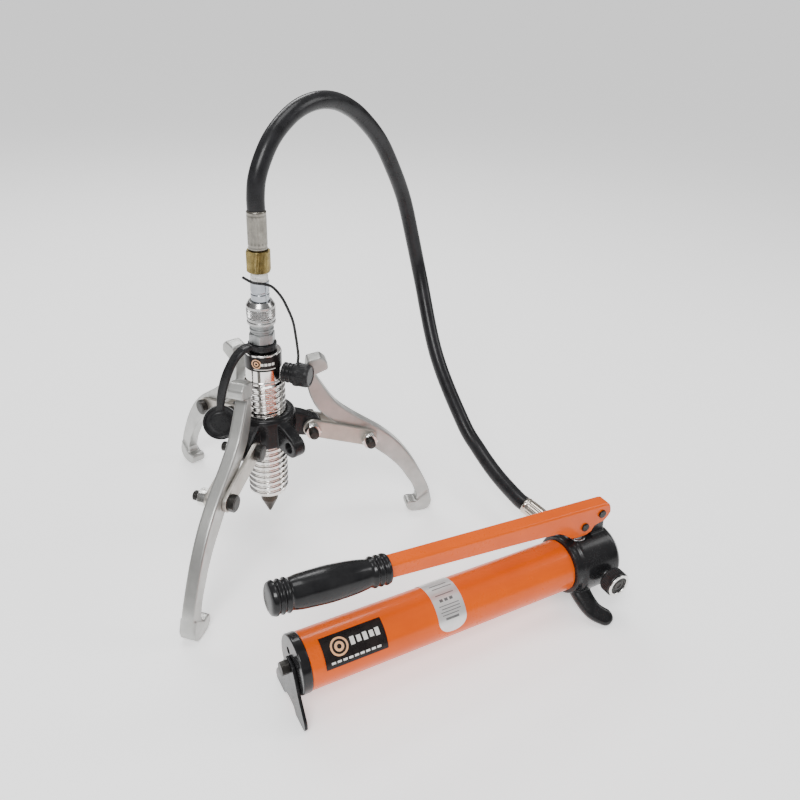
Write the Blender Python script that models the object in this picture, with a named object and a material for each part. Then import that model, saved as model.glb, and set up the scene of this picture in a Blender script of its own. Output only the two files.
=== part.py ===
"""Hydraulic gear puller with its hose and hand pump, built as separate named pieces.

Lengths are metres and +Z is up. The pump lies along +X. The puller stands beside it at +Y.
Every place is first given in the bench frame, whose origin is on the floor under the outer face of the
pump's rear cap. SHIFT then moves the whole set so that the middle of its footprint is the origin.
"""
import math

import bmesh
import bpy
import numpy as np
from mathutils import Matrix, Vector

MM = 0.001
CLEAR = 0.3 * MM                       # gap left between touching pieces
LARGE, MEDIUM, SMALL = 32, 24, 16      # sides of round pieces, by size
SHIFT = Vector((-159.47, -215.34, 0.0)) * MM

# Puller unit: heights along its vertical axis
PULLER = Vector((80.0, 281.4, 0.0)) * MM
BARREL_BOTTOM = 62 * MM
BARREL_TOP = 262 * MM
THREAD_TOP = 225 * MM
THREAD_PITCH = 8 * MM
THREAD_RADIUS = 25 * MM
THREAD_ROOT = 22 * MM
BARREL_PLAIN_RADIUS = 21.5 * MM
BORE_RADIUS = 17 * MM
BORE_TOP = 236 * MM
ROD_RADIUS = 11 * MM
PISTON_RADIUS = 16.7 * MM
PISTON_TOP = 218 * MM
PISTON_BOTTOM = 200 * MM
RAM_STROKE = 50 * MM
GLAND_TOP = 74 * MM
CONE_TOP = 54 * MM
CONE_TIP = 24 * MM
LABEL_LOW = 241.5 * MM
LABEL_HIGH = 259.5 * MM

# Hub and its four ears
HUB_LOW = 142 * MM
HUB_HIGH = 182 * MM
HUB_RADIUS = 36 * MM
HUB_BORE = THREAD_RADIUS + 0.4 * MM
EAR_PIN = Vector((56.0, 153.0)) * MM   # radius from the axis, height
EAR_RADIUS = 13.5 * MM
EAR_HALF = 8 * MM
JAW_AZIMUTH = {"right": -14.3, "left": 104.3, "front": -134.3}
SPARE_AZIMUTH = -74.3

# Jaws and links, drawn in the plane of one jaw: (radius, height)
JAW_PIN = Vector((128.5, 131.0)) * MM
JAW_HALF = 7.5 * MM
JAW_BLOCK_HALF = 9.8 * MM
JAW_BOSS = 13 * MM
JAW_OUTER = ((61, 226), (72, 207), (87.5, 184), (107.5, 166.5), (128.5, 151.5), (150.5, 135.5), (171.5, 115),
             (190, 90), (205, 63), (217, 37), (222, 16))
JAW_FOOT = ((221, 8), (216, 2.2), (208, 0), (195, 0.6), (188.5, 5), (186, 11), (188, 17), (199.5, 17))
JAW_INNER = ((200.5, 26), (194, 43), (185, 58), (174, 75), (159, 92), (141, 108), (114, 132), (88, 153),
             (67, 172),
             (56, 192), (51, 212), (50, 232))
JAW_HEAD = ((50, 232), (51.5, 246), (68, 249.5), (75.5, 243), (77, 233), (61, 226))
FOOT_BLOCK_TOP = (216, 32)
LINK_HALF_WIDTH = 11.5 * MM
LINK_THICKNESS = 5 * MM
BOLT_RADIUS = 6.0 * MM                 # M12
BOLT_HOLE = 6.4 * MM
BOLT_ACROSS_CORNERS = 20.8 * MM        # 18 mm across flats
BOLT_HEAD_HEIGHT = 7.5 * MM
NUT_HEIGHT = 9.5 * MM
BOLT_TAIL = 8 * MM

# Coupler and hose end, stacked on the barrel: heights
RING_LOW = 263.3 * MM
RING_HIGH = 271.5 * MM
RING_RADIUS = 17 * MM
HEX_LOW = 271.8 * MM
HEX_HIGH = 284 * MM
HEX_ACROSS_CORNERS = 32 * MM
BODY_RADIUS = 14.2 * MM
SLEEVE_LOW = 296.5 * MM
SLEEVE_HIGH = 323.5 * MM
SLEEVE_RADIUS = 16.7 * MM
STEM_HIGH = 347 * MM
STEM_RADIUS = 10.8 * MM
TAPE_HIGH = 358 * MM
BRASS_HIGH = 382.7 * MM
BRASS_ACROSS_CORNERS = 29 * MM
FERRULE_HIGH = 426.5 * MM
FERRULE_RADIUS = 10.9 * MM

# Hose: outside diameter and the middle line from the puller's ferrule to the pump's ferrule
HOSE_DIAMETER = 19.9 * MM
HOSE_ROUTE = ((80, 281.4, 427.3), (80, 281.4, 440), (82.6, 282.6, 458), (90.5, 286.3, 476.5),
              (103.5, 292.2, 496), (121, 300.4, 511.5), (141.5, 309.8, 523), (165, 320.6, 528.6),
              (190, 332, 527.6), (215, 343.8, 519.4), (242, 356.4, 503), (275, 371.6, 472.5),
              (303.5, 384.8, 431.5), (328, 396, 387), (345.5, 397, 330), (354.5, 385, 277), (350, 321, 184),
              (350, 242, 117), (354.3, 204.4, 92), (355.8, 160, 76.3), (358.2, 114.5, 67.5),
              (360.8, 102, 65.7))
HOSE_POINTS = 40

# Dust caps
CAP_AZIMUTH = 187.3
CAP_CENTRE = (59 * MM, 180 * MM)     # radius from the axis, height
CAP_RADIUS = 20.8 * MM
CAP_ROUTE = ((12, 268), (24, 267), (36, 258), (46, 242), (53, 224), (57, 208), (58.5, 196))
CAP_FACING = Vector((-0.30, -0.92, 0.25)).normalized()
HANG_AZIMUTH = -45.0
HANG_INNER = 26.5 * MM
HANG_LENGTH = 34 * MM
HANG_RADIUS = 14.5 * MM
HANG_HEIGHT = 236 * MM
STRING_DIAMETER = 3.2 * MM
STRING_ROUTE = ((-18.5, 2, 352), (-11, -10, 349), (1.5, -15, 347), (9.5, -17.5, 343), (17.5, -22, 332),
                (23, -25, 319),
                (28, -28, 303), (30.5, -30, 283), (32, -31.8, 262), (31.4, -31.4, 252.6))

# Hand pump
AXIS = 55 * MM                         # height of the reservoir's axis
TUBE_RADIUS = 30 * MM
TUBE_WALL = 2.2 * MM
CAP_LENGTH = 10 * MM
TUBE_END = 335 * MM
HEAD_END = 401 * MM
HEAD_RADIUS = 38 * MM
COLLAR_RADIUS = 35 * MM
COLLAR_LENGTH = 9 * MM
HEAD_FLAT = 91 * MM
FOOT_SPREAD = 37 * MM
FULCRUM = Vector((379.0, 0.0, 122.0)) * MM
LEVER_PIN = Vector((356.0, 0.0, 110.5)) * MM
PIN_RADIUS = 3.5 * MM
LEVER_HALF_WIDTH = 9.0 * MM
LEVER_WALL = 2.4 * MM
LEVER_CHEEK = ((102.5, 133.5), (270, 118.5), (318, 113), (327, 108.4), (341, 98.4), (361, 97.2), (367.5, 100),
               (371, 107), (385.6, 110), (393, 120), (391, 131), (384, 134.2), (102.5, 151.0))
GRIP_START = -22 * MM
GRIP_END = 102 * MM
GRIP_HEIGHTS = (150.5, 139.9)          # height of the grip's axis at its two ends
PLUNGER_X = 355.2 * MM
PLUNGER_RADIUS = 7 * MM
VALVE_X = 375 * MM
KNOB_FACE = -60 * MM
PORT = Vector((375.0, 36.0, 56.0)) * MM
PORT_DIRECTION = Vector((-0.208, 0.967, 0.141)).normalized()
PUMP_FERRULE_LOW = 27.3 * MM            # along the port's direction
PUMP_FERRULE_HIGH = 67.0 * MM

# Planes for flat pieces: upright along the pump, and square across it
UPRIGHT = Matrix(((1, 0, 0, 0), (0, 0, -1, 0), (0, 1, 0, 0), (0, 0, 0, 1)))
CROSSWISE = Matrix(((0, 0, 1, 0), (1, 0, 0, 0), (0, 1, 0, 0), (0, 0, 0, 1)))

# Finishes: colour, roughness, metallic
FINISHES = {
    "chrome": ((0.78, 0.78, 0.80), 0.12, 1.0),
    "black_cast": ((0.018, 0.019, 0.021), 0.42, 0.0),
    "jaw_satin": ((0.60, 0.60, 0.58), 0.38, 0.9),
    "bolt_black": ((0.020, 0.020, 0.020), 0.40, 0.6),
    "nut_bright": ((0.72, 0.72, 0.70), 0.22, 1.0),
    "steel": ((0.52, 0.53, 0.54), 0.28, 1.0),
    "brass": ((0.62, 0.44, 0.17), 0.28, 1.0),
    "tape_white": ((0.85, 0.85, 0.83), 0.75, 0.0),
    "rubber": ((0.014, 0.015, 0.016), 0.55, 0.0),
    "hose_rubber": ((0.012, 0.012, 0.013), 0.45, 0.0),
    "orange_paint": ((0.90, 0.16, 0.012), 0.30, 0.0),
    "label_black": ((0.012, 0.008, 0.007), 0.35, 0.0),
    "plate_silver": ((0.72, 0.72, 0.71), 0.30, 1.0),
    "spring_steel": ((0.30, 0.30, 0.31), 0.35, 1.0),
    "seal": ((0.30, 0.05, 0.03), 0.60, 0.0),
}


def clear_scene():
    """Removes every object that is in the file."""
    for item in list(bpy.data.objects):
        bpy.data.objects.remove(item, do_unlink=True)


def finish(node, name):
    """Gives a node its own Principled material from the finish table."""
    colour, roughness, metallic = FINISHES[name]
    material = bpy.data.materials.new(node.name)
    material.use_nodes = True
    shader = material.node_tree.nodes["Principled BSDF"]
    shader.inputs["Base Color"].default_value = (*colour, 1.0)
    shader.inputs["Roughness"].default_value = roughness
    shader.inputs["Metallic"].default_value = metallic
    node.data.materials.clear()
    node.data.materials.append(material)


def add(name, solid, finish_name, pivot=None, smooth_angle=35.0):
    """Puts a bench-frame solid into the scene with its origin at the pivot."""
    bmesh.ops.remove_doubles(solid, verts=solid.verts, dist=0.00001)
    bmesh.ops.recalc_face_normals(solid, faces=solid.faces)
    pivot = Vector(pivot) if pivot is not None else Vector((0, 0, 0))
    solid.transform(Matrix.Translation(-pivot))
    mesh = bpy.data.meshes.new(name)
    for face in solid.faces:
        face.smooth = True
    for edge in solid.edges:
        if len(edge.link_faces) == 2:
            edge.smooth = edge.calc_face_angle(0.0) < math.radians(smooth_angle)
    solid.to_mesh(mesh)
    solid.free()
    node = bpy.data.objects.new(name, mesh)
    node.location = pivot + SHIFT
    bpy.context.scene.collection.objects.link(node)
    finish(node, finish_name)
    return node


def revolve(profile, segments=MEDIUM, matrix=None):
    """Turns a (radius, height) outline about local Z. It closes on the axis, or on itself as a ring."""
    solid = bmesh.new()
    rings = []
    for radius, height in profile:
        if radius < 1e-7:
            rings.append([solid.verts.new((0.0, 0.0, height))])
            continue
        angles = [2 * math.pi * step / segments for step in range(segments)]
        rings.append([solid.verts.new((radius * math.cos(a), radius * math.sin(a), height)) for a in angles])
    pairs = list(zip(rings, rings[1:]))
    if len(rings[0]) > 1:
        pairs.append((rings[-1], rings[0]))
    for low, high in pairs:
        for step in range(segments):
            after = (step + 1) % segments
            corners = (low[step % len(low)], low[after % len(low)], high[after % len(high)],
                       high[step % len(high)])
            solid.faces.new(list(dict.fromkeys(corners)))
    if matrix is not None:
        solid.transform(matrix)
    return solid


def prism(outline, low, high, matrix=None):
    """Extrudes a closed (u, v) outline from low to high along the third local axis."""
    solid = bmesh.new()
    bottom = [solid.verts.new((u, v, low)) for u, v in outline]
    top = [solid.verts.new((u, v, high)) for u, v in outline]
    solid.faces.new(bottom[::-1])
    solid.faces.new(top)
    for step in range(len(outline)):
        after = (step + 1) % len(outline)
        solid.faces.new((bottom[step], bottom[after], top[after], top[step]))
    if matrix is not None:
        solid.transform(matrix)
    return solid


def ring_outline(radius, count=24, centre=(0.0, 0.0), start=0.0):
    """Points of a circle, or of a regular polygon, in a plane."""
    angles = [start + 2 * math.pi * step / count for step in range(count)]
    return [(centre[0] + radius * math.cos(a), centre[1] + radius * math.sin(a)) for a in angles]


def sweep(path, sides, widths, depths, count=12):
    """Sweeps an ellipse along a path. Its width lies along the side vectors, its depth across them."""
    solid = bmesh.new()
    points = [Vector(p) for p in path]
    rings = []
    for index, point in enumerate(points):
        before = points[max(index - 1, 0)]
        after = points[min(index + 1, len(points) - 1)]
        along = (after - before).normalized()
        side = Vector(sides[index])
        side = (side - along * side.dot(along)).normalized()
        across = along.cross(side)
        ring = []
        for step in range(count):
            angle = 2 * math.pi * step / count
            offset = side * widths[index] * math.cos(angle) + across * depths[index] * math.sin(angle)
            ring.append(solid.verts.new(point + offset))
        rings.append(ring)
    for low, high in zip(rings, rings[1:]):
        for step in range(count):
            after = (step + 1) % count
            solid.faces.new((low[step], low[after], high[after], high[step]))
    solid.faces.new(rings[0][::-1])
    solid.faces.new(rings[-1])
    return solid


def smooth_route(points, count):
    """Even points along the Catmull-Rom curve through the given points."""
    knots = np.array(points, dtype=float)
    padded = np.vstack([2 * knots[0] - knots[1], knots, 2 * knots[-1] - knots[-2]])
    fine = []
    for index in range(1, len(padded) - 2):
        p0, p1, p2, p3 = padded[index - 1:index + 3]
        for t in np.linspace(0, 1, 24, endpoint=False):
            fine.append(0.5 * (2 * p1 + (p2 - p0) * t + (2 * p0 - 5 * p1 + 4 * p2 - p3) * t ** 2
                               + (3 * p1 - p0 - 3 * p2 + p3) * t ** 3))
    fine.append(knots[-1])
    fine = np.array(fine)
    travelled = np.concatenate([[0], np.cumsum(np.linalg.norm(np.diff(fine, axis=0), axis=1))])
    wanted = np.linspace(0, travelled[-1], count)
    return np.column_stack([np.interp(wanted, travelled, fine[:, axis]) for axis in range(knots.shape[1])])


def combine(base, others, operation):
    """Joins or cuts closed solids with an exact boolean and returns the new solid."""
    result = base
    for other in others:
        meshes = []
        for solid in (result, other):
            bmesh.ops.recalc_face_normals(solid, faces=solid.faces)
            mesh = bpy.data.meshes.new("work")
            solid.to_mesh(mesh)
            solid.free()
            meshes.append(bpy.data.objects.new("work", mesh))
            bpy.context.scene.collection.objects.link(meshes[-1])
        keep, tool = meshes
        tool.hide_render = True
        tool.display_type = "WIRE"
        step = keep.modifiers.new("combine", "BOOLEAN")
        step.solver = "EXACT"
        step.operation = operation
        step.object = tool
        view = bpy.context.evaluated_depsgraph_get()
        result = bmesh.new()
        result.from_mesh(keep.evaluated_get(view).to_mesh())
        for item in meshes:
            data = item.data
            bpy.data.objects.remove(item, do_unlink=True)
            bpy.data.meshes.remove(data)
    return result


def turned(direction, place):
    """A matrix whose local Z points along a direction, with its origin at a place."""
    quaternion = Vector(direction).to_track_quat("Z", "Y")
    return Matrix.Translation(Vector(place)) @ quaternion.to_matrix().to_4x4()


def jaw_frame(azimuth):
    """Local X runs out from the puller's axis, local Y is up and local Z is the jaw's left side."""
    angle = math.radians(azimuth)
    out = Vector((math.cos(angle), math.sin(angle), 0))
    up = Vector((0, 0, 1))
    across = out.cross(up)
    basis = Matrix((out, up, across)).transposed()
    return Matrix.Translation(PULLER) @ basis.to_4x4()


def scaled(points):
    """Millimetre outline points in metres."""
    return [tuple(value * MM for value in point) for point in points]


def barrel():
    """Threaded barrel with a stepped bore: blind at the top but for the oil port, open below."""
    outline = [(BORE_RADIUS, BARREL_BOTTOM), (THREAD_ROOT, BARREL_BOTTOM)]
    turns = int((THREAD_TOP - BARREL_BOTTOM) / THREAD_PITCH)
    for turn in range(turns):
        low = BARREL_BOTTOM + 1.5 * MM + turn * THREAD_PITCH
        outline += [(THREAD_RADIUS, low + THREAD_PITCH / 2), (THREAD_ROOT, low + THREAD_PITCH)]
    outline += [(BARREL_PLAIN_RADIUS, THREAD_TOP + 1 * MM), (BARREL_PLAIN_RADIUS, BARREL_TOP - 1.5 * MM),
                (BARREL_PLAIN_RADIUS - 1.5 * MM, BARREL_TOP), (5 * MM, BARREL_TOP), (5 * MM, BORE_TOP),
                (BORE_RADIUS, BORE_TOP)]
    add("cylinder_barrel", revolve(outline, MEDIUM, Matrix.Translation(PULLER)), "chrome")


def inside_barrel():
    """Gland nut, ram with its piston, piston seal, return spring and cone tip."""
    here = Matrix.Translation(PULLER)
    inner = BORE_RADIUS - CLEAR
    gland = [(ROD_RADIUS + CLEAR, BARREL_BOTTOM), (inner, BARREL_BOTTOM), (inner, GLAND_TOP),
             (ROD_RADIUS + CLEAR, GLAND_TOP)]
    add("ram_gland", revolve(gland, MEDIUM, here), "steel")
    groove_low, groove_high = PISTON_BOTTOM + 6 * MM, PISTON_BOTTOM + 12 * MM
    groove = 13.5 * MM
    ram = [(0, CONE_TOP + CLEAR), (ROD_RADIUS, CONE_TOP + CLEAR), (ROD_RADIUS, PISTON_BOTTOM),
           (PISTON_RADIUS - 0.4 * MM, PISTON_BOTTOM), (PISTON_RADIUS - 0.4 * MM, groove_low),
           (groove, groove_low),
           (groove, groove_high), (PISTON_RADIUS - 0.4 * MM, groove_high),
           (PISTON_RADIUS - 0.4 * MM, PISTON_TOP),
           (0, PISTON_TOP)]
    foot = PULLER + Vector((0, 0, CONE_TIP))
    add("ram_piston", revolve(ram, MEDIUM, here), "steel", foot)
    seal = [(groove + CLEAR, groove_low + CLEAR), (PISTON_RADIUS, groove_low + CLEAR),
            (PISTON_RADIUS, groove_high - CLEAR), (groove + CLEAR, groove_high - CLEAR)]
    add("piston_seal", revolve(seal, MEDIUM, here), "seal", foot)
    cone = [(0, CONE_TIP), (1.2 * MM, CONE_TIP + 1 * MM), (ROD_RADIUS, CONE_TOP - 8 * MM),
            (ROD_RADIUS, CONE_TOP),
            (0, CONE_TOP)]
    add("cone_tip", revolve(cone, MEDIUM, here), "bolt_black", foot)
    turns, per_turn = 8, 8
    low, high, wire = GLAND_TOP + 1.6 * MM, PISTON_BOTTOM - 1.6 * MM, 1.2 * MM
    coil_radius = 0.5 * (ROD_RADIUS + BORE_RADIUS)
    path, sides = [], []
    for step in range(turns * per_turn + 1):
        angle = 2 * math.pi * step / per_turn
        out = Vector((math.cos(angle), math.sin(angle), 0))
        height = low + (high - low) * step / (turns * per_turn)
        path.append(PULLER + out * coil_radius + Vector((0, 0, height)))
        sides.append(out)
    sizes = [wire] * len(path)
    add("return_spring", sweep(path, sides, sizes, sizes, 5), "spring_steel", foot)


def hub():
    """Cast hub: a bored ring with four drilled ears."""
    low, high, bevel = HUB_LOW, HUB_HIGH, 3 * MM
    ring = [(HUB_RADIUS - bevel, low), (HUB_RADIUS, low + bevel), (HUB_RADIUS, high - 2 * bevel),
            (HUB_RADIUS - 2 * bevel, high), (10 * MM, high), (10 * MM, low)]
    body = revolve(ring, LARGE, Matrix.Translation(PULLER))
    ears, holes = [], []
    for azimuth in [*JAW_AZIMUTH.values(), SPARE_AZIMUTH]:
        frame = jaw_frame(azimuth)
        lobe = [(EAR_PIN.x + EAR_RADIUS * math.cos(a), EAR_PIN.y + EAR_RADIUS * math.sin(a))
                for a in [math.radians(v) for v in range(-100, 71, 17)]]
        arm = [(28 * MM, HUB_LOW + 1 * MM)] + lobe + [(46 * MM, HUB_HIGH - 9 * MM),
                                                      (28 * MM, HUB_HIGH - 4 * MM)]
        ears.append(prism(arm, -EAR_HALF, EAR_HALF, frame))
        hole = ring_outline(BOLT_HOLE, SMALL, EAR_PIN)
        holes.append(prism(hole, -2 * EAR_HALF, 2 * EAR_HALF, frame))
    bore = prism(ring_outline(HUB_BORE, LARGE), HUB_LOW - 0.01, HUB_HIGH + 0.01, Matrix.Translation(PULLER))
    body = combine(body, ears, "UNION")
    body = combine(body, [bore, *holes], "DIFFERENCE")
    add("hub", body, "black_cast", PULLER + Vector((0, 0, HUB_LOW)))


def hexagon(across_corners):
    """Outline of a hexagon."""
    return ring_outline(across_corners / 2, 6)


def bolt_and_nut(label, frame, pin, pivot):
    """Hexagon bolt through a pair of links, with its nut on the other side."""
    stack = EAR_HALF + CLEAR + LINK_THICKNESS + CLEAR
    here = frame @ Matrix.Translation((pin.x, pin.y, 0))
    tail = -stack - NUT_HEIGHT - BOLT_TAIL
    shank = revolve([(0, tail), (BOLT_RADIUS - 0.8 * MM, tail), (BOLT_RADIUS, tail + 0.8 * MM),
                     (BOLT_RADIUS, stack + 1 * MM), (0, stack + 1 * MM)], 12)
    head = prism(hexagon(BOLT_ACROSS_CORNERS), stack, stack + BOLT_HEAD_HEIGHT)
    bolt = combine(head, [shank], "UNION")
    bolt.transform(here)
    add(f"{label}_bolt", bolt, "bolt_black", pivot)
    inner = BOLT_RADIUS + CLEAR
    blank = prism(hexagon(BOLT_ACROSS_CORNERS), -stack - NUT_HEIGHT, -stack)
    hole = prism(ring_outline(inner, 12), -stack - 2 * NUT_HEIGHT, 0)
    nut = combine(blank, [hole], "DIFFERENCE")
    nut.transform(here)
    add(f"{label}_nut", nut, "nut_bright", pivot)


def jaw_solid(frame):
    """Forged jaw: curved shank, boss round its bolt hole, wide head block and wide hooked foot."""
    shank_outline = scaled(JAW_OUTER) + scaled(JAW_FOOT) + scaled(JAW_INNER)
    body = prism(shank_outline, -JAW_HALF, JAW_HALF)
    boss = prism(ring_outline(JAW_BOSS, MEDIUM, JAW_PIN), -JAW_HALF, JAW_HALF)
    head = prism(scaled(JAW_HEAD), -JAW_BLOCK_HALF, JAW_BLOCK_HALF)
    foot = prism(scaled((FOOT_BLOCK_TOP,) + JAW_OUTER[-1:] + JAW_FOOT), -JAW_BLOCK_HALF, JAW_BLOCK_HALF)
    body = combine(body, [boss, head, foot], "UNION")
    hole = prism(ring_outline(BOLT_HOLE, SMALL, JAW_PIN), -2 * JAW_HALF, 2 * JAW_HALF)
    body = combine(body, [hole], "DIFFERENCE")
    body.transform(frame)
    return body


def link_outline():
    """Flat strap with round ends from the ear pin to the jaw pin."""
    along = (JAW_PIN - EAR_PIN).normalized()
    heading = math.atan2(along.y, along.x)
    points = []
    for centre, start in ((JAW_PIN, -90), (EAR_PIN, 90)):
        for step in range(9):
            angle = heading + math.radians(start + 22.5 * step)
            points.append((centre.x + LINK_HALF_WIDTH * math.cos(angle),
                           centre.y + LINK_HALF_WIDTH * math.sin(angle)))
    return points


def jaws():
    """Three sets of jaw, link pair, hub bolt and jaw bolt."""
    for side, azimuth in JAW_AZIMUTH.items():
        frame = jaw_frame(azimuth)
        ear = frame @ Vector((EAR_PIN.x, EAR_PIN.y, 0))
        pin = frame @ Vector((JAW_PIN.x, JAW_PIN.y, 0))
        add(f"jaw_{side}", jaw_solid(frame), "jaw_satin", pin)
        for half, sign in (("a", 1), ("b", -1)):
            near = sign * (EAR_HALF + CLEAR)
            far = near + sign * LINK_THICKNESS
            low, high = min(near, far), max(near, far)
            strap = prism(link_outline(), low, high)
            holes = [prism(ring_outline(BOLT_HOLE, 16, place), low - 0.01,
                           high + 0.01) for place in (EAR_PIN, JAW_PIN)]
            strap = combine(strap, holes, "DIFFERENCE")
            strap.transform(frame)
            add(f"link_{side}_{half}", strap, "jaw_satin", ear)
        flip = frame @ Matrix.Scale(-1, 4, (0, 0, 1))
        bolt_and_nut(f"hub_{side}", flip, EAR_PIN, ear)
        bolt_and_nut(f"jaw_{side}", flip, JAW_PIN, ear)


def coupler():
    """Screw-together coupler, sealing tape, brass nut and crimped ferrule above the barrel."""
    here = Matrix.Translation(PULLER)
    port = 4.6 * MM
    neck = 8 * MM
    body = combine(prism(hexagon(HEX_ACROSS_CORNERS), HEX_LOW, HEX_HIGH),
                   [revolve([(0, BORE_TOP + 10 * MM), (port, BORE_TOP + 10 * MM), (port, BARREL_TOP + CLEAR),
                             (neck, BARREL_TOP + CLEAR), (neck, HEX_LOW + 1 * MM),
                             (0, HEX_LOW + 1 * MM)], SMALL),
                    revolve([(0, HEX_HIGH - 1 * MM), (13 * MM, HEX_HIGH - 1 * MM),
                             (13 * MM, HEX_HIGH + 3 * MM),
                             (BODY_RADIUS, HEX_HIGH + 4 * MM), (BODY_RADIUS, SLEEVE_LOW - CLEAR),
                             (13 * MM, SLEEVE_LOW - CLEAR), (13 * MM, SLEEVE_LOW + 3 * MM),
                             (0, SLEEVE_LOW + 3 * MM)], MEDIUM)], "UNION")
    body.transform(here)
    add("coupler_hex", body, "steel")
    outer, step = SLEEVE_RADIUS, 1.2 * MM
    low, high = SLEEVE_LOW, SLEEVE_HIGH
    sleeve = [(13.3 * MM, low), (outer - step, low), (outer, low + step), (outer, low + 6 * MM),
              (outer - step, low + 7 * MM), (outer - step, low + 9 * MM), (outer, low + 10 * MM),
              (outer, high - 5 * MM), (outer - 3 * MM, high), (STEM_RADIUS + CLEAR, high),
              (STEM_RADIUS + CLEAR, low + 3.3 * MM), (13.3 * MM, low + 3.3 * MM)]
    add("coupler_sleeve", revolve(sleeve, MEDIUM, here), "chrome", PULLER + Vector((0, 0, low)))
    inner = 5 * MM
    stem = [(inner, low + 3.6 * MM), (STEM_RADIUS, low + 3.6 * MM), (STEM_RADIUS, STEM_HIGH - 1 * MM),
            (STEM_RADIUS - 1 * MM, STEM_HIGH), (8 * MM, STEM_HIGH), (8 * MM, TAPE_HIGH + 8 * MM),
            (inner, TAPE_HIGH + 8 * MM)]
    add("coupler_stem", revolve(stem, MEDIUM, here), "steel")
    tape = [(8 * MM + CLEAR, STEM_HIGH + CLEAR), (10.2 * MM, STEM_HIGH + CLEAR),
            (9.6 * MM, TAPE_HIGH - CLEAR),
            (8 * MM + CLEAR, TAPE_HIGH - CLEAR)]
    add("thread_tape", revolve(tape, SMALL, here), "tape_white")
    blank = prism(hexagon(BRASS_ACROSS_CORNERS), TAPE_HIGH, BRASS_HIGH)
    hole = prism(ring_outline(8 * MM + CLEAR, SMALL), TAPE_HIGH - 0.01, BRASS_HIGH + 0.01)
    nut = combine(blank, [hole], "DIFFERENCE")
    nut.transform(here)
    add("brass_nut", nut, "brass")
    ferrule = [(0, BRASS_HIGH - 6 * MM), (7.5 * MM, BRASS_HIGH - 6 * MM), (7.5 * MM, BRASS_HIGH + CLEAR),
               (FERRULE_RADIUS - 1 * MM, BRASS_HIGH + CLEAR), (FERRULE_RADIUS, BRASS_HIGH + 2 * MM),
               (FERRULE_RADIUS, FERRULE_HIGH - 1 * MM), (FERRULE_RADIUS - 1 * MM, FERRULE_HIGH),
               (0, FERRULE_HIGH)]
    add("puller_ferrule", revolve(ferrule, MEDIUM, here), "steel")
    band_inner = BARREL_PLAIN_RADIUS + 0.1 * MM
    band = [(band_inner, LABEL_LOW), (band_inner + 0.4 * MM, LABEL_LOW), (band_inner + 0.4 * MM, LABEL_HIGH),
            (band_inner, LABEL_HIGH)]
    add("cylinder_label", revolve(band, MEDIUM, here), "label_black")


def dust_caps():
    """Round cap on its moulded ring and strap, and the second cap, which hangs on a string."""
    angle = math.radians(CAP_AZIMUTH)
    out = Vector((math.cos(angle), math.sin(angle), 0))
    tangent = Vector((-out.y, out.x, 0))
    up = Vector((0, 0, 1))
    hole = 8 * MM + CLEAR
    ring = revolve([(hole, RING_LOW), (RING_RADIUS, RING_LOW), (RING_RADIUS, RING_HIGH), (hole, RING_HIGH)],
                   MEDIUM,
                   Matrix.Translation(PULLER))
    stations = smooth_route(CAP_ROUTE, 12) * MM
    path = [PULLER + out * r + up * z for r, z in stations]
    facing = CAP_FACING
    turn = tangent.cross(facing)
    sides, widths, depths = [], [], []
    for index in range(len(path)):
        share = max(0.0, index / (len(path) - 1) - 0.35) / 0.65
        level = facing.cross(up).normalized()
        sides.append(tangent.lerp(level * (1 if level.dot(tangent) > 0 else -1), share))
        widths.append((7.0 - 2.6 * share) * MM)
        depths.append((3.0 - 0.4 * share) * MM)
    strap = sweep(path, sides, widths, depths, 8)
    centre = PULLER + out * CAP_CENTRE[0] + up * CAP_CENTRE[1]
    r = CAP_RADIUS
    disc = revolve([(0, -6 * MM), (r - 3 * MM, -6 * MM), (r - 3 * MM, 0), (r, 0.5 * MM), (r, 5 * MM),
                    (r - 1.5 * MM, 6.5 * MM), (0, 6.5 * MM)], MEDIUM, turned(facing, centre))
    add("strap_dust_cap", combine(ring, [strap, disc], "UNION"), "rubber")
    angle = math.radians(HANG_AZIMUTH)
    out = Vector((math.cos(angle), math.sin(angle), 0))
    place = PULLER + out * HANG_INNER + up * HANG_HEIGHT
    r, length = HANG_RADIUS, HANG_LENGTH
    neck, neck_length = r - 2.2 * MM, 14 * MM
    cap = revolve([(0, 4 * MM), (neck - 3 * MM, 4 * MM), (neck - 3 * MM, 0), (neck - 1 * MM, 0),
                   (neck, 1 * MM),
                   (neck, neck_length - 3 * MM), (neck - 1 * MM, neck_length - 1.5 * MM),
                   (r, neck_length + 0.5 * MM),
                   (r, length - 2 * MM), (r - 2 * MM, length), (0, length)], MEDIUM, turned(out, place))
    add("hanging_dust_cap", cap, "rubber")


def cord(name, route, diameter, count, resolution, finish_name):
    """A round cord as a filled curve with points evenly spaced along a smooth route."""
    curve = bpy.data.curves.new(name, "CURVE")
    curve.dimensions = "3D"
    curve.bevel_depth = diameter / 2
    curve.bevel_resolution = resolution
    curve.use_fill_caps = True
    spline = curve.splines.new("POLY")
    points = smooth_route(route, count)
    spline.points.add(len(points) - 1)
    for point, place in zip(spline.points, points):
        point.co = (*(Vector(place) + SHIFT), 1.0)
    node = bpy.data.objects.new(name, curve)
    bpy.context.scene.collection.objects.link(node)
    finish(node, finish_name)
    return node


def cords():
    """Hose between the two units, and the string of the hanging cap."""
    cord("hose", scaled(HOSE_ROUTE), HOSE_DIAMETER, HOSE_POINTS, 3, "hose_rubber")
    route = [PULLER + Vector(place) * MM for place in STRING_ROUTE]
    cord("cap_string", route, STRING_DIAMETER, 20, 2, "rubber")


def along_x(place):
    """A matrix whose local Z points along the pump's axis, at a distance from the rear cap's face."""
    return Matrix.Translation((place, 0, AXIS)) @ Matrix.Rotation(math.pi / 2, 4, "Y")


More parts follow.
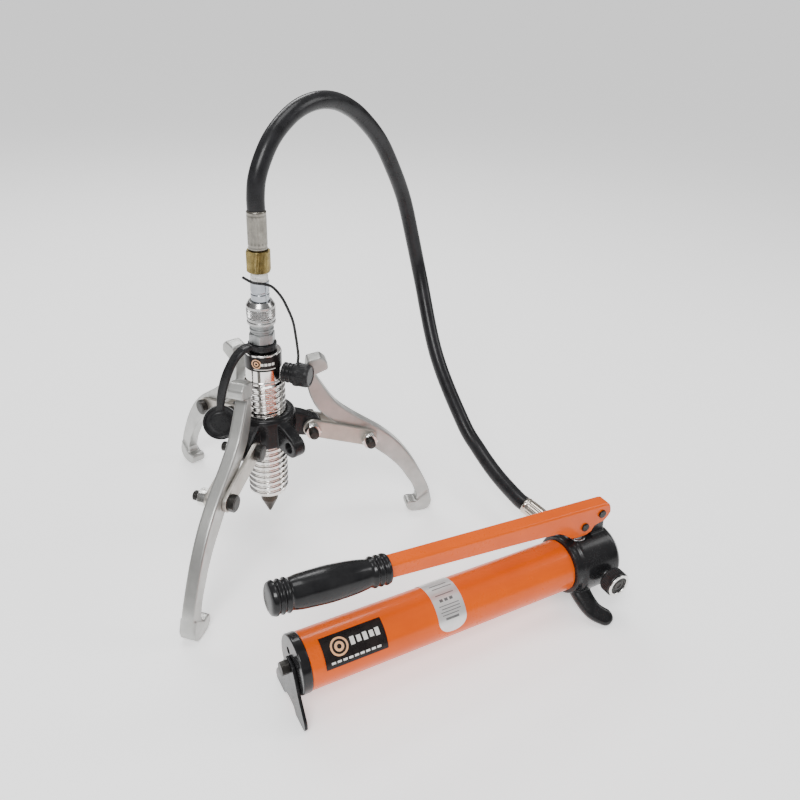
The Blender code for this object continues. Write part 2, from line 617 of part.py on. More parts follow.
def reservoir():
    """Reservoir tube, rear cap, suction pipe, labels, foot and screws."""
    outer, inner = TUBE_RADIUS, TUBE_RADIUS - TUBE_WALL
    start, end = CAP_LENGTH + CLEAR, TUBE_END - CLEAR
    add("reservoir_tube", revolve([(inner, start), (outer, start), (outer, end), (inner, end)], LARGE,
                                  along_x(0)),
        "orange_paint")
    plug = inner - CLEAR
    cap_radius = TUBE_RADIUS + 1 * MM
    cap = revolve([(4.3 * MM, 0), (cap_radius - 2 * MM, 0), (cap_radius, 2 * MM), (cap_radius, CAP_LENGTH),
                   (plug, CAP_LENGTH), (plug, CAP_LENGTH + 14 * MM),
                   (10 * MM, CAP_LENGTH + 14 * MM), (10 * MM, 12 * MM),
                   (4.3 * MM, 12 * MM)], LARGE, along_x(0))
    seat = revolve([(0, -1 * MM), (4 * MM, -1 * MM), (4 * MM, 7 * MM), (0, 7 * MM)], 12,
                   Matrix.Translation((0, 10 * MM, 10 * MM)) @ along_x(0))
    add("rear_cap", combine(cap, [seat], "DIFFERENCE"), "black_cast")
    screw = revolve([(0, 1.5 * MM), (3.6 * MM, 1.5 * MM), (3.6 * MM, 6.5 * MM), (0, 6.5 * MM)], 12,
                    Matrix.Translation((0, 10 * MM, 10 * MM)) @ along_x(0))
    add("filler_screw", screw, "bolt_black")
    tip = FOOT_SPREAD
    half_outline = [(0, 8 * MM), (10 * MM, 7 * MM), (15 * MM, 0), (tip, 0), (tip + 3 * MM, 5 * MM),
                    (tip + 2 * MM, 12 * MM), (23 * MM, 35 * MM), (14 * MM, 53 * MM), (8 * MM, 61 * MM)]
    outline = half_outline + [(-y, z) for y, z in reversed(half_outline[1:])]
    plate = prism(outline, -3.8 * MM, -CLEAR, CROSSWISE)
    hole = prism(ring_outline(4.4 * MM, 12), -0.02, 0.02, along_x(0))
    add("rear_foot", combine(plate, [hole], "DIFFERENCE"), "black_cast")
    head = prism(hexagon(15 * MM), -12.6 * MM, -4.1 * MM)
    shank = revolve([(0, -5 * MM), (4 * MM, -5 * MM), (4 * MM, 20 * MM), (0, 20 * MM)], 12)
    bolt = combine(head, [shank], "UNION")
    bolt.transform(along_x(0))
    add("foot_bolt", bolt, "bolt_black")
    pipe = sweep([(0.060, 0, AXIS - 0.020), (0.200, 0, AXIS - 0.020), (TUBE_END - 22 * MM, 0, AXIS - 0.020)],
                 [(0, 1, 0)] * 3, [4 * MM] * 3, [4 * MM] * 3, 12)
    add("suction_pipe", pipe, "steel")
    for name, low, high, first, last, finish_name in (
            ("pump_label", 24.5 * MM, 92 * MM, 103, 164, "label_black"),
            ("data_plate", 152 * MM, 186 * MM, 35, 185, "plate_silver")):
        inner_radius = TUBE_RADIUS + 0.25 * MM
        angles = [math.radians(first + (last - first) * step / 16) for step in range(17)]
        arc = [(inner_radius * math.cos(a), inner_radius * math.sin(a)) for a in angles]
        outer_radius = inner_radius + 0.4 * MM
        arc += [(outer_radius * math.cos(a), outer_radius * math.sin(a)) for a in reversed(angles)]
        plane = Matrix.Translation((0, 0, AXIS)) @ CROSSWISE
        add(name, prism(arc, low, high, plane), finish_name)


def pump_head():
    """Cast head: collar, round body, spigot, two horn legs and the fulcrum ear, with its bores."""
    r, end = HEAD_RADIUS, HEAD_END
    spigot = TUBE_RADIUS - TUBE_WALL - CLEAR
    body = revolve([(0, TUBE_END - 18 * MM), (spigot, TUBE_END - 18 * MM), (spigot, TUBE_END),
                    (COLLAR_RADIUS, TUBE_END),
                    (COLLAR_RADIUS, TUBE_END + COLLAR_LENGTH), (r, TUBE_END + COLLAR_LENGTH + 2 * MM),
                    (r, end - 7 * MM),
                    (r - 2 * MM, end - 2 * MM), (r - 7 * MM, end), (0, end)], LARGE, along_x(0))
    top = prism([(343 * MM, -11 * MM), (371 * MM, -11 * MM), (371 * MM, 11 * MM), (343 * MM, 11 * MM)],
                HEAD_FLAT, 0.12)
    horns = []
    for sign in (-1, 1):
        spine = smooth_route(((352, 14, 36), (352, 30, 25), (356, 46, 14.5), (365, 57, 9.4),
                              (373, 63, 7.4)), 9) * MM
        path = [(x, sign * y, z) for x, y, z in spine]
        wide = np.array([12.5, 12.1, 11.7, 11.3, 10.9, 10.5, 10.1, 9.6, 7.5]) * MM
        deep = np.linspace(9, 6.2, 9) * MM
        horns.append(sweep(path, [(1, 0.5 * sign, 0)] * 9, list(wide), list(deep), 10))
    turns = [math.radians(v) for v in range(190, -31, -22)]
    rim = [(FULCRUM.x + 9 * MM * math.cos(a), FULCRUM.z + 9 * MM * math.sin(a)) for a in turns]
    ear_outline = [(368 * MM, 80 * MM)] + rim + [(393 * MM, 80 * MM)]
    ear = prism(ear_outline, -5.8 * MM, 5.8 * MM, UPRIGHT)
    body = combine(body, [top], "DIFFERENCE")
    body = combine(body, [*horns, ear], "UNION")
    down = Matrix.Translation((PLUNGER_X, 0, 0))
    bore = revolve([(0, 46 * MM), (PLUNGER_RADIUS + CLEAR, 46 * MM), (PLUNGER_RADIUS + CLEAR, 80 * MM),
                    (10.5 * MM, 80 * MM), (10.5 * MM, 0.12), (0, 0.12)], MEDIUM, down)
    pin_hole = prism(ring_outline(PIN_RADIUS + CLEAR, 16, (FULCRUM.x, FULCRUM.z)), -0.02, 0.02, UPRIGHT)
    valve = revolve([(0, 18 * MM), (5.3 * MM, 18 * MM), (5.3 * MM, 60 * MM), (0, 60 * MM)], SMALL,
                    turned((0, -1, 0), (VALVE_X, 0, AXIS)))
    port = revolve([(0, -14 * MM), (8.3 * MM, -14 * MM), (8.3 * MM, 20 * MM), (0, 20 * MM)], SMALL,
                   turned(PORT_DIRECTION, PORT))
    body = combine(body, [bore, pin_hole, valve, port], "DIFFERENCE")
    add("pump_head", body, "black_cast")


def lever():
    """Folded-channel lever with its lobed cheeks, rubber grip and two pins."""
    cheek = scaled(LEVER_CHEEK)
    half = LEVER_HALF_WIDTH
    body = prism(cheek, -half, half, UPRIGHT)
    hollow = scaled([(60, 100), (318, 60), (420, 60), (420, 131.8), (384, 131.8), (60, 151.2)])
    gap = prism(hollow, -half + LEVER_WALL, half - LEVER_WALL, UPRIGHT)
    holes = [prism(ring_outline(PIN_RADIUS + CLEAR, 16, (pin.x, pin.z)), -0.02, 0.02, UPRIGHT)
             for pin in (FULCRUM, LEVER_PIN)]
    body = combine(body, [gap, *holes], "DIFFERENCE")
    tongue = scaled([(-6, 145.0), (117, 134.0), (117, 149.4), (-6, 153.2)])
    body = combine(body, [prism(tongue, -5 * MM, 5 * MM, UPRIGHT)], "UNION")
    add("lever", body, "orange_paint", FULCRUM)
    start, end = Vector((GRIP_START, 0, GRIP_HEIGHTS[0] * MM)), Vector((GRIP_END, 0, GRIP_HEIGHTS[1] * MM))
    length = (end - start).length
    radii = ((0, 13), (2, 16), (6, 17), (9, 15.5), (12, 17), (15, 15.5), (18, 17), (22, 15.5), (34, 17),
             (58, 18),
             (88, 16.5), (104, 14.5), (108, 16), (112, 14.5), (115, 16), (118, 14.5), (121, 16), (124, 15.5))
    profile = [(0, 0)] + [(radius * MM, place * MM) for place, radius in radii] + [
               (13.5 * MM, length), (0, length)]
    grip = revolve(profile, 20, turned(end - start, start))
    pocket = prism(scaled([(-6.3, 144.7), (118, 133.6), (118, 149.8), (-6.3, 153.5)]), -5.3 * MM, 5.3 * MM,
                   UPRIGHT)
    root = prism(scaled([(102.2, 110), (120, 110), (120, 170), (102.2, 170)]), -20 * MM, 20 * MM, UPRIGHT)
    add("grip", combine(grip, [pocket, root], "DIFFERENCE"), "rubber", FULCRUM)
    for name, pin in (("fulcrum_pin", FULCRUM), ("plunger_pin", LEVER_PIN)):
        reach = half + CLEAR
        shaft = [(0, -reach - 2.2 * MM), (4.6 * MM, -reach - 2.2 * MM), (5 * MM, -reach - 1.6 * MM),
                 (5 * MM, -reach),
                 (PIN_RADIUS, -reach), (PIN_RADIUS, reach), (5 * MM, reach), (5 * MM, reach + 1.6 * MM),
                 (4.6 * MM, reach + 2.2 * MM), (0, reach + 2.2 * MM)]
        add(name, revolve(shaft, SMALL, turned((0, -1, 0), pin)), "bolt_black", FULCRUM)


def plunger():
    """Plunger with a slotted eye, and the gland nut it slides through."""
    eye_z = LEVER_PIN.z
    neck = 6 * MM
    rod = revolve([(0, 52 * MM), (PLUNGER_RADIUS - 1 * MM, 52 * MM), (PLUNGER_RADIUS, 53 * MM),
                   (PLUNGER_RADIUS, 92 * MM), (neck, 93 * MM), (neck, eye_z - 7 * MM),
                   (0, eye_z - 7 * MM)], 24,
                  Matrix.Translation((PLUNGER_X, 0, 0)))
    x = PLUNGER_X
    low, high = eye_z - 9 * MM, eye_z + 8 * MM
    eye = prism([(x - 8 * MM, low), (x + 8 * MM, low), (x + 10.5 * MM, eye_z - 4 * MM),
                 (x + 10.5 * MM, eye_z + 4 * MM),
                 (x + 7 * MM, high), (x - 7 * MM, high), (x - 10.5 * MM, eye_z + 4 * MM),
                 (x - 10.5 * MM, eye_z - 4 * MM)],
                -5.5 * MM, 5.5 * MM, UPRIGHT)
    reach, r = 2.4 * MM, 4.3 * MM
    slot = [(x + reach + r * math.cos(a),
             eye_z + r * math.sin(a)) for a in [math.radians(v) for v in range(-90, 91, 20)]]
    slot += [(x - reach + r * math.cos(a),
              eye_z + r * math.sin(a)) for a in [math.radians(v) for v in range(90, 271, 20)]]
    body = combine(rod, [eye], "UNION")
    body = combine(body, [prism(slot, -0.02, 0.02, UPRIGHT)], "DIFFERENCE")
    add("plunger", body, "steel", Vector((x, 0, eye_z)))
    gland = [(PLUNGER_RADIUS + CLEAR, 80.3 * MM), (10.2 * MM, 80.3 * MM), (10.2 * MM, 92.4 * MM),
             (PLUNGER_RADIUS + CLEAR, 92.4 * MM)]
    add("plunger_gland", revolve(gland, 24, Matrix.Translation((x, 0, 0))), "steel")


def valve_and_port():
    """Release valve with its knob on the near side, hose adapter and ferrule on the far side."""
    place = Vector((VALVE_X, 0, AXIS))
    toward = turned((0, -1, 0), place)
    stem = [(0, 19 * MM), (5 * MM, 19 * MM), (5 * MM, 41.7 * MM), (0, 41.7 * MM)]
    add("valve_stem", revolve(stem, SMALL, toward), "steel", place)
    face = -KNOB_FACE
    knob = [(0, 42 * MM), (8 * MM, 42 * MM), (14 * MM, 44 * MM), (15.8 * MM, 46 * MM),
            (15.8 * MM, face - 3 * MM),
            (14.9 * MM, face - 1.3 * MM), (10.4 * MM, face - 1.3 * MM), (10.4 * MM, face - 2.5 * MM),
            (0, face - 2.5 * MM)]
    add("release_knob", revolve(knob, MEDIUM, toward), "black_cast", place)
    bezel = [(10.7 * MM, face - 1 * MM), (14.7 * MM, face - 1 * MM), (14.3 * MM, face), (11.2 * MM, face)]
    add("knob_bezel", revolve(bezel, MEDIUM, toward), "nut_bright", place)
    along = turned(PORT_DIRECTION, PORT)
    pipe = revolve([(0, -12 * MM), (8 * MM, -12 * MM), (8 * MM, 8 * MM), (0, 8 * MM)], SMALL)
    nut = prism(hexagon(24 * MM), 7 * MM, 20 * MM)
    neck = revolve([(0, 19 * MM), (8.5 * MM, 19 * MM), (8.5 * MM, 27 * MM), (0, 27 * MM)], SMALL)
    adapter = combine(nut, [pipe, neck], "UNION")
    adapter.transform(along)
    add("port_adapter", adapter, "steel")
    r = FERRULE_RADIUS
    low, high = PUMP_FERRULE_LOW, PUMP_FERRULE_HIGH
    ferrule = [(0, low), (r - 1 * MM, low), (r, low + 1 * MM), (r, high - 1 * MM), (r - 1 * MM, high),
               (0, high)]
    add("pump_ferrule", revolve(ferrule, MEDIUM, along), "steel")


def main():
    """Builds every piece of the set."""
    clear_scene()
    barrel()
    inside_barrel()
    hub()
    jaws()
    coupler()
    dust_caps()
    cords()
    reservoir()
    pump_head()
    lever()
    plunger()
    valve_and_port()


if __name__ == "__main__":
    main()
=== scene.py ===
"""Hydraulic gear puller set: a three-jaw puller joined by its hose to a hand pump."""
import logging
from collections.abc import Callable, Sequence
from dataclasses import dataclass
from enum import Enum

import bmesh
import bpy
import numpy as np
from mathutils import Matrix, Vector


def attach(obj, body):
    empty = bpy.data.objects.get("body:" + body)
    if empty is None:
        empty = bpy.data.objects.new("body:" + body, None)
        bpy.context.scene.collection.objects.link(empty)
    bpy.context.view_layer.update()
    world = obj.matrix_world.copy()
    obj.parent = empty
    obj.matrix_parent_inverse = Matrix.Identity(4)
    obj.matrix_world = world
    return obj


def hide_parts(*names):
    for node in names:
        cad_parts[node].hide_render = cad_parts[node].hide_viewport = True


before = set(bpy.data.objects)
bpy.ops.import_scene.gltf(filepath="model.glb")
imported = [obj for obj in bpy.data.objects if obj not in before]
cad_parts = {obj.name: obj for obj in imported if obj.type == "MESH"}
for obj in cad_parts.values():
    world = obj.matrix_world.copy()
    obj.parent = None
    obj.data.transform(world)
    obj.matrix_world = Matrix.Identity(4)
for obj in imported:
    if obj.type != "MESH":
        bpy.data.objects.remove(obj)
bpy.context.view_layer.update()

LOG = logging.getLogger("puller_set")
Array = np.ndarray

MM = 0.001
BENCH = np.array([-159.47, -215.34, 0.0])       # mm, from the bench's origin to the model's
PULLER = np.array([80.0, 281.4, 0.0])           # mm, the puller's axis on the bench
AXIS_HEIGHT = 55.0                              # mm, the pump's axis over the floor
TAU = 2 * np.pi


class Cap(Enum):
    """How the two ends of a skin are closed."""

    FAN = "fan"
    POLYGON = "polygon"
    JOINED = "joined"


class Side(Enum):
    """The three jaws, by the direction in degrees in which each one reaches out."""

    RIGHT = -14.3
    LEFT = 104.3
    FRONT = -134.3

    @property
    def label(self) -> str:
        """The jaw's name as the frame spells it."""
        return self.name.lower()


@dataclass(frozen=True)
class Finish:
    """A surface: its colours, gloss, grain and wear. Scales are per metre, relief is in metres."""

    name: str
    slot: str
    colour: tuple[float, float, float]
    tint: tuple[float, float, float]
    metallic: float
    roughness: tuple[float, float]
    mottling: float = 40.0
    grain: float = 900.0
    relief: float = 0.00004
    stretch: tuple[float, float, float] = (1.0, 1.0, 1.0)
    coat: float = 0.0
    wear: tuple[float, float, float] | None = None
    scratches: float = 0.0
    specular: float = 0.5

    def material(self) -> bpy.types.Material:
        """The finish's material, made the first time it is asked for.

        Returns:
            A material whose colour, gloss and relief come from noise on Object coordinates.
        """
        found = bpy.data.materials.get(self.name)
        if found is not None:
            return found
        made = bpy.data.materials.new(self.name)
        made.use_nodes = True
        tree = made.node_tree
        shader = tree.nodes["Principled BSDF"]
        shader.inputs["Metallic"].default_value = self.metallic
        shader.inputs["Coat Weight"].default_value = self.coat
        shader.inputs["Specular IOR Level"].default_value = self.specular
        shader.inputs["Coat Roughness"].default_value = 0.06
        place = tree.nodes.new("ShaderNodeTexCoord")
        turn = tree.nodes.new("ShaderNodeMapping")
        turn.inputs["Scale"].default_value = self.stretch
        tree.links.new(place.outputs["Object"], turn.inputs["Vector"])
        broad = self._noise(tree, place.outputs["Object"], self.mottling, 4.0)
        fine = self._noise(tree, turn.outputs["Vector"], self.grain, 5.0)
        mix = tree.nodes.new("ShaderNodeMix")
        mix.data_type = "RGBA"
        mix.inputs["A"].default_value = (*self.colour, 1.0)
        mix.inputs["B"].default_value = (*self.tint, 1.0)
        tree.links.new(self._spread(tree, broad, 0.35, 0.68, 0.0, 1.0), mix.inputs["Factor"])
        colour = mix.outputs["Result"]
        both = tree.nodes.new("ShaderNodeMath")
        both.operation = "MULTIPLY_ADD"
        both.inputs[1].default_value = 0.5
        tree.links.new(broad, both.inputs[0])
        half = tree.nodes.new("ShaderNodeMath")
        half.operation = "MULTIPLY"
        half.inputs[1].default_value = 0.5
        tree.links.new(fine, half.inputs[0])
        tree.links.new(half.outputs[0], both.inputs[2])
        gloss = self._spread(tree, both.outputs[0], 0.36, 0.64, self.roughness[0], self.roughness[1])
        height = fine
        if self.scratches > 0:
            height = self._scratched(tree, place.outputs["Object"], fine)
        if self.wear is not None:
            colour = self._worn(tree, colour, fine)
        tree.links.new(colour, shader.inputs["Base Color"])
        tree.links.new(gloss, shader.inputs["Roughness"])
        bump = tree.nodes.new("ShaderNodeBump")
        bump.inputs["Strength"].default_value = 0.6
        bump.inputs["Distance"].default_value = self.relief
        tree.links.new(height, bump.inputs["Height"])
        tree.links.new(bump.outputs["Normal"], shader.inputs["Normal"])
        return made

    @staticmethod
    def _noise(tree: bpy.types.NodeTree, vector: bpy.types.NodeSocket, scale: float,
               detail: float) -> bpy.types.NodeSocket:
        """A noise texture read at a point.

        Args:
            tree: The material's nodes.
            vector: Where the noise is read.
            scale: Cells per metre.
            detail: Octaves.

        Returns:
            The noise's value.
        """
        noise = tree.nodes.new("ShaderNodeTexNoise")
        noise.inputs["Scale"].default_value = scale
        noise.inputs["Detail"].default_value = detail
        noise.inputs["Roughness"].default_value = 0.6
        tree.links.new(vector, noise.inputs["Vector"])
        return noise.outputs["Fac"]

    @staticmethod
    def _spread(tree: bpy.types.NodeTree, value: bpy.types.NodeSocket, low: float, high: float,
                to_low: float, to_high: float) -> bpy.types.NodeSocket:
        """A value carried from one range to another and held at its ends.

        Args:
            tree: The material's nodes.
            value: The value to carry.
            low: Where the first range starts.
            high: Where the first range ends.
            to_low: Where the second range starts.
            to_high: Where the second range ends.

        Returns:
            The carried value.
        """
        spread = tree.nodes.new("ShaderNodeMapRange")
        for name, number in (("From Min", low), ("From Max", high), ("To Min", to_low), ("To Max", to_high)):
            spread.inputs[name].default_value = number
        tree.links.new(value, spread.inputs["Value"])
        return spread.outputs["Result"]

    def _scratched(self, tree: bpy.types.NodeTree, vector: bpy.types.NodeSocket,
                   fine: bpy.types.NodeSocket) -> bpy.types.NodeSocket:
        """The grain with long thin marks cut into it.

        Args:
            tree: The material's nodes.
            vector: Where the marks are read.
            fine: The grain's height.

        Returns:
            The height of both together.
        """
        turn = tree.nodes.new("ShaderNodeMapping")
        turn.inputs["Rotation"].default_value = (0.3, 0.9, 0.5)
        turn.inputs["Scale"].default_value = (1.0, 14.0, 3.0)
        tree.links.new(vector, turn.inputs["Vector"])
        marks = self._noise(tree, turn.outputs["Vector"], 90.0, 2.0)
        lines = self._spread(tree, marks, 0.60, 0.66, 0.0, -self.scratches)
        total = tree.nodes.new("ShaderNodeMath")
        tree.links.new(fine, total.inputs[0])
        tree.links.new(lines, total.inputs[1])
        return total.outputs[0]

    def _worn(self, tree: bpy.types.NodeTree, colour: bpy.types.NodeSocket,
              fine: bpy.types.NodeSocket) -> bpy.types.NodeSocket:
        """The colour rubbed through along outer edges, in patches.

        Args:
            tree: The material's nodes.
            colour: The colour before wear.
            fine: The grain, which breaks the edge up.

        Returns:
            The worn colour.
        """
        shape = tree.nodes.new("ShaderNodeNewGeometry")
        edge = self._spread(tree, shape.outputs["Pointiness"], 0.54, 0.62, 0.0, 1.0)
        patchy = self._spread(tree, fine, 0.45, 0.62, 0.0, 0.75)
        share = tree.nodes.new("ShaderNodeMath")
        share.operation = "MULTIPLY"
        tree.links.new(edge, share.inputs[0])
        tree.links.new(patchy, share.inputs[1])
        mix = tree.nodes.new("ShaderNodeMix")
        mix.data_type = "RGBA"
        mix.inputs["B"].default_value = (*self.wear, 1.0)
        tree.links.new(colour, mix.inputs["A"])
        tree.links.new(share.outputs[0], mix.inputs["Factor"])
        return mix.outputs["Result"]


CHROME = Finish("polished_chrome", "chrome", (0.80, 0.79, 0.78), (0.70, 0.66, 0.62), 1.0, (0.06, 0.16),
                60, 1600, 0.00001, scratches=0.4)
SLEEVE_STEEL = Finish("turned_bright_steel", "chrome", (0.50, 0.50, 0.50), (0.38, 0.38, 0.37), 1.0, (0.16, 0.30),
                      70, 700, 0.00002, (1.0, 1.0, 8.0))
STEM_STEEL = Finish("blued_bright_steel", "chrome", (0.40, 0.42, 0.45), (0.30, 0.32, 0.35), 1.0, (0.10, 0.22),
                    70, 700, 0.00002, (1.0, 1.0, 6.0))
ZINC = Finish("grey_zinc", "steel", (0.30, 0.31, 0.31), (0.22, 0.23, 0.23), 0.9, (0.32, 0.46), 90, 1200, 0.00003,
              wear=(0.75, 0.75, 0.74))
CRIMPED_STEEL = Finish("crimped_steel", "steel", (0.30, 0.285, 0.25), (0.19, 0.18, 0.16), 1.0, (0.24, 0.40),
                       80, 500, 0.00004, (1.0, 1.0, 0.15))
WARM_STEEL = Finish("warm_bright_steel", "steel", (0.66, 0.60, 0.54), (0.52, 0.45, 0.38), 1.0, (0.14, 0.26),
                    80, 700, 0.00003)
MACHINED = Finish("machined_steel", "steel", (0.55, 0.56, 0.57), (0.45, 0.46, 0.47), 1.0, (0.20, 0.34),
                  60, 900, 0.00002, (1.0, 1.0, 5.0))
CAST_BLACK = Finish("gloss_black_casting", "black_cast", (0.011, 0.011, 0.012), (0.020, 0.020, 0.021), 0.0,
                    (0.20, 0.32), 50, 420, 0.00005, coat=0.08, specular=0.22)
ENAMEL_BLACK = Finish("gloss_black_enamel", "black_cast", (0.010, 0.010, 0.011), (0.018, 0.018, 0.019), 0.0,
                      (0.14, 0.24), 50, 300, 0.00006, coat=0.15, specular=0.25)
FORGED = Finish("satin_forging", "jaw_satin", (0.46, 0.46, 0.445), (0.36, 0.36, 0.345), 0.80, (0.30, 0.46),
                35, 650, 0.00009, wear=(0.86, 0.86, 0.85), scratches=0.3)
STRAP_SATIN = Finish("warm_satin_strap", "jaw_satin", (0.50, 0.47, 0.43), (0.38, 0.355, 0.32), 0.8, (0.28, 0.44),
                     40, 800, 0.00006, wear=(0.84, 0.83, 0.80), scratches=0.5)
BLACK_OXIDE = Finish("black_oxide", "bolt_black", (0.022, 0.021, 0.020), (0.038, 0.035, 0.032), 0.7, (0.30, 0.46),
                     90, 1100, 0.00004, wear=(0.20, 0.19, 0.18))
CONE_DARK = Finish("dark_hard_steel", "bolt_black", (0.060, 0.048, 0.040), (0.030, 0.024, 0.020), 0.9,
                   (0.24, 0.40), 60, 900, 0.00003, (1.0, 1.0, 6.0))
ZINC_BRIGHT = Finish("bright_zinc_nut", "nut_bright", (0.76, 0.76, 0.74), (0.64, 0.63, 0.60), 1.0, (0.16, 0.28),
                     120, 1300, 0.00002, wear=(0.9, 0.9, 0.88))
OLIVE_BRASS = Finish("dull_olive_brass", "brass", (0.30, 0.23, 0.09), (0.16, 0.125, 0.05), 1.0, (0.28, 0.44),
                     110, 800, 0.00004, wear=(0.66, 0.54, 0.28))
PAINT_RED = Finish("red_orange_enamel", "orange_paint", (0.80, 0.110, 0.0), (0.73, 0.094, 0.0), 0.0,
                   (0.26, 0.34), 18, 260, 0.00002, coat=0.18, specular=0.18)
RUBBER = Finish("moulded_rubber", "rubber", (0.012, 0.012, 0.013), (0.022, 0.022, 0.023), 0.0, (0.20, 0.34),
                60, 700, 0.00004, coat=0.04, specular=0.20)
GRIP_RUBBER = Finish("glossy_grip_rubber", "rubber", (0.010, 0.010, 0.011), (0.018, 0.018, 0.019), 0.0,
                     (0.16, 0.26), 45, 350, 0.00004, coat=0.10, specular=0.22)
HOSE_RUBBER = Finish("hose_cover", "hose_rubber", (0.012, 0.012, 0.013), (0.020, 0.020, 0.022), 0.0, (0.24, 0.36),
                     55, 500, 0.00006, coat=0.05, specular=0.20)
TAPE = Finish("sealing_tape", "tape_white", (0.86, 0.86, 0.84), (0.74, 0.74, 0.71), 0.0, (0.55, 0.80),
              160, 900, 0.00030, (1.0, 1.0, 5.0))
LABEL_BLACK = Finish("printed_black_label", "label_black", (0.012, 0.010, 0.010), (0.020, 0.016, 0.015), 0.0,
                     (0.22, 0.34), 70, 1500, 0.00001, coat=0.05, specular=0.20)
PRINT_WHITE = Finish("printed_white", "label_black", (0.84, 0.83, 0.80), (0.76, 0.74, 0.70), 0.0, (0.30, 0.42),
                     200, 1500, 0.00001)
PRINT_PEACH = Finish("printed_peach", "label_black", (0.86, 0.50, 0.28), (0.82, 0.42, 0.20), 0.0, (0.30, 0.42),
                     200, 1500, 0.00001)
PRINT_DARK = Finish("printed_grey", "plate_silver", (0.10, 0.10, 0.10), (0.16, 0.16, 0.16), 0.0, (0.35, 0.50),
                    200, 1500, 0.00001)
FOIL = Finish("silver_foil_plate", "plate_silver", (0.80, 0.79, 0.78), (0.70, 0.69, 0.68), 0.55, (0.28, 0.40),
              45, 900, 0.00003, (1.0, 6.0, 1.0))
SPRING_WIRE = Finish("spring_wire", "spring_steel", (0.30, 0.30, 0.31), (0.22, 0.22, 0.22), 1.0, (0.26, 0.40),
                     90, 1100, 0.00003)
SEAL_RED = Finish("seal_rubber", "seal", (0.30, 0.05, 0.03), (0.24, 0.04, 0.03), 0.0, (0.45, 0.60),
                  60, 900, 0.00004)


@dataclass(frozen=True)
class Shell:
    """A closed skin, in bench millimetres."""

    points: Array
    faces: list[list[int]]

    def moved(self, matrix: Array) -> "Shell":
        """The same skin carried by a 4 by 4 matrix."""
        return Shell(self.points @ matrix[:3, :3].T + matrix[:3, 3], self.faces)


def placed(x_axis: Sequence[float], y_axis: Sequence[float], z_axis: Sequence[float],
           origin: Sequence[float]) -> Array:
    """A matrix from three axes and an origin.

    Args:
        x_axis: Where local X points.
        y_axis: Where local Y points.
        z_axis: Where local Z points.
        origin: Where the local origin lies.

    Returns:
        The 4 by 4 matrix.
    """
    matrix = np.eye(4)
    matrix[:3, 0] = x_axis
    matrix[:3, 1] = y_axis
    matrix[:3, 2] = z_axis
    matrix[:3, 3] = origin
    return matrix


def toward(direction: Sequence[float], origin: Sequence[float]) -> Array:
    """A matrix whose local Z runs along a direction from an origin.

    Args:
        direction: Where local Z points.
        origin: Where the local origin lies.

    Returns:
        The 4 by 4 matrix.
    """
    along = unit(np.asarray(direction, float))
    guide = np.array([0.0, 0.0, 1.0]) if abs(along[2]) < 0.9 else np.array([0.0, 1.0, 0.0])
    side = unit(np.cross(guide, along))
    return placed(side, np.cross(along, side), along, origin)


def unit(vectors: Array) -> Array:
    """Vectors scaled to length one, along the last axis."""
    return vectors / (np.linalg.norm(vectors, axis=-1, keepdims=True) + 1e-12)


UPRIGHT = placed((1, 0, 0), (0, 0, 1), (0, -1, 0), (0, 0, 0))
PUMP = placed((0, 1, 0), (0, 0, 1), (1, 0, 0), (0, 0, AXIS_HEIGHT))
ON_PULLER = placed((1, 0, 0), (0, 1, 0), (0, 0, 1), PULLER)


def out_and_up(azimuth: float) -> Array:
    """A matrix for a flat piece that stands on a ray from the puller's axis.

    Args:
        azimuth: The ray's direction in degrees.

    Returns:
        Local X runs out, local Y up and local Z across.
    """
    angle = np.radians(azimuth)
    out = np.array([np.cos(angle), np.sin(angle), 0.0])
    up = np.array([0.0, 0.0, 1.0])
    return placed(out, up, np.cross(out, up), PULLER)


def rounded(outline: Sequence[Sequence[float]], radius: float, closed: bool = False, steps: int = 4) -> Array:
    """An outline with its corners turned into small curves.

    A corner p with cuts a and b a radius away becomes (1-t)^2 a + 2t(1-t) p + t^2 b for t from 0 to 1, with one
    more point on each side so that flats stay flat.

    Args:
        outline: Corners in order.
        radius: How far from a corner its curve starts.
        closed: Whether the last corner joins the first.
        steps: Pieces in each curve.

    Returns:
        The finer outline, as rows.
    """
    corners = np.asarray(outline, float)
    before = np.roll(corners, 1, axis=0) - corners
    after = np.roll(corners, -1, axis=0) - corners
    lengths = [np.linalg.norm(side, axis=1, keepdims=True) for side in (before, after)]
    cuts = [np.minimum(radius, 0.40 * length) for length in lengths]
    start = corners + unit(before) * cuts[0]
    end = corners + unit(after) * cuts[1]
    t = np.linspace(0, 1, steps + 1)[None, :, None]
    curve = (1 - t) ** 2 * start[:, None] + 2 * t * (1 - t) * corners[:, None] + t ** 2 * end[:, None]
    guards = [(corners + unit(side) * cut * 1.2)[:, None] for side, cut in zip((before, after), cuts)]
    curve = np.concatenate([guards[0], curve, guards[1]], axis=1)
    if closed:
        return curve.reshape(-1, corners.shape[1])
    return np.vstack([corners[:1], curve[1:-1].reshape(-1, corners.shape[1]), corners[-1:]])


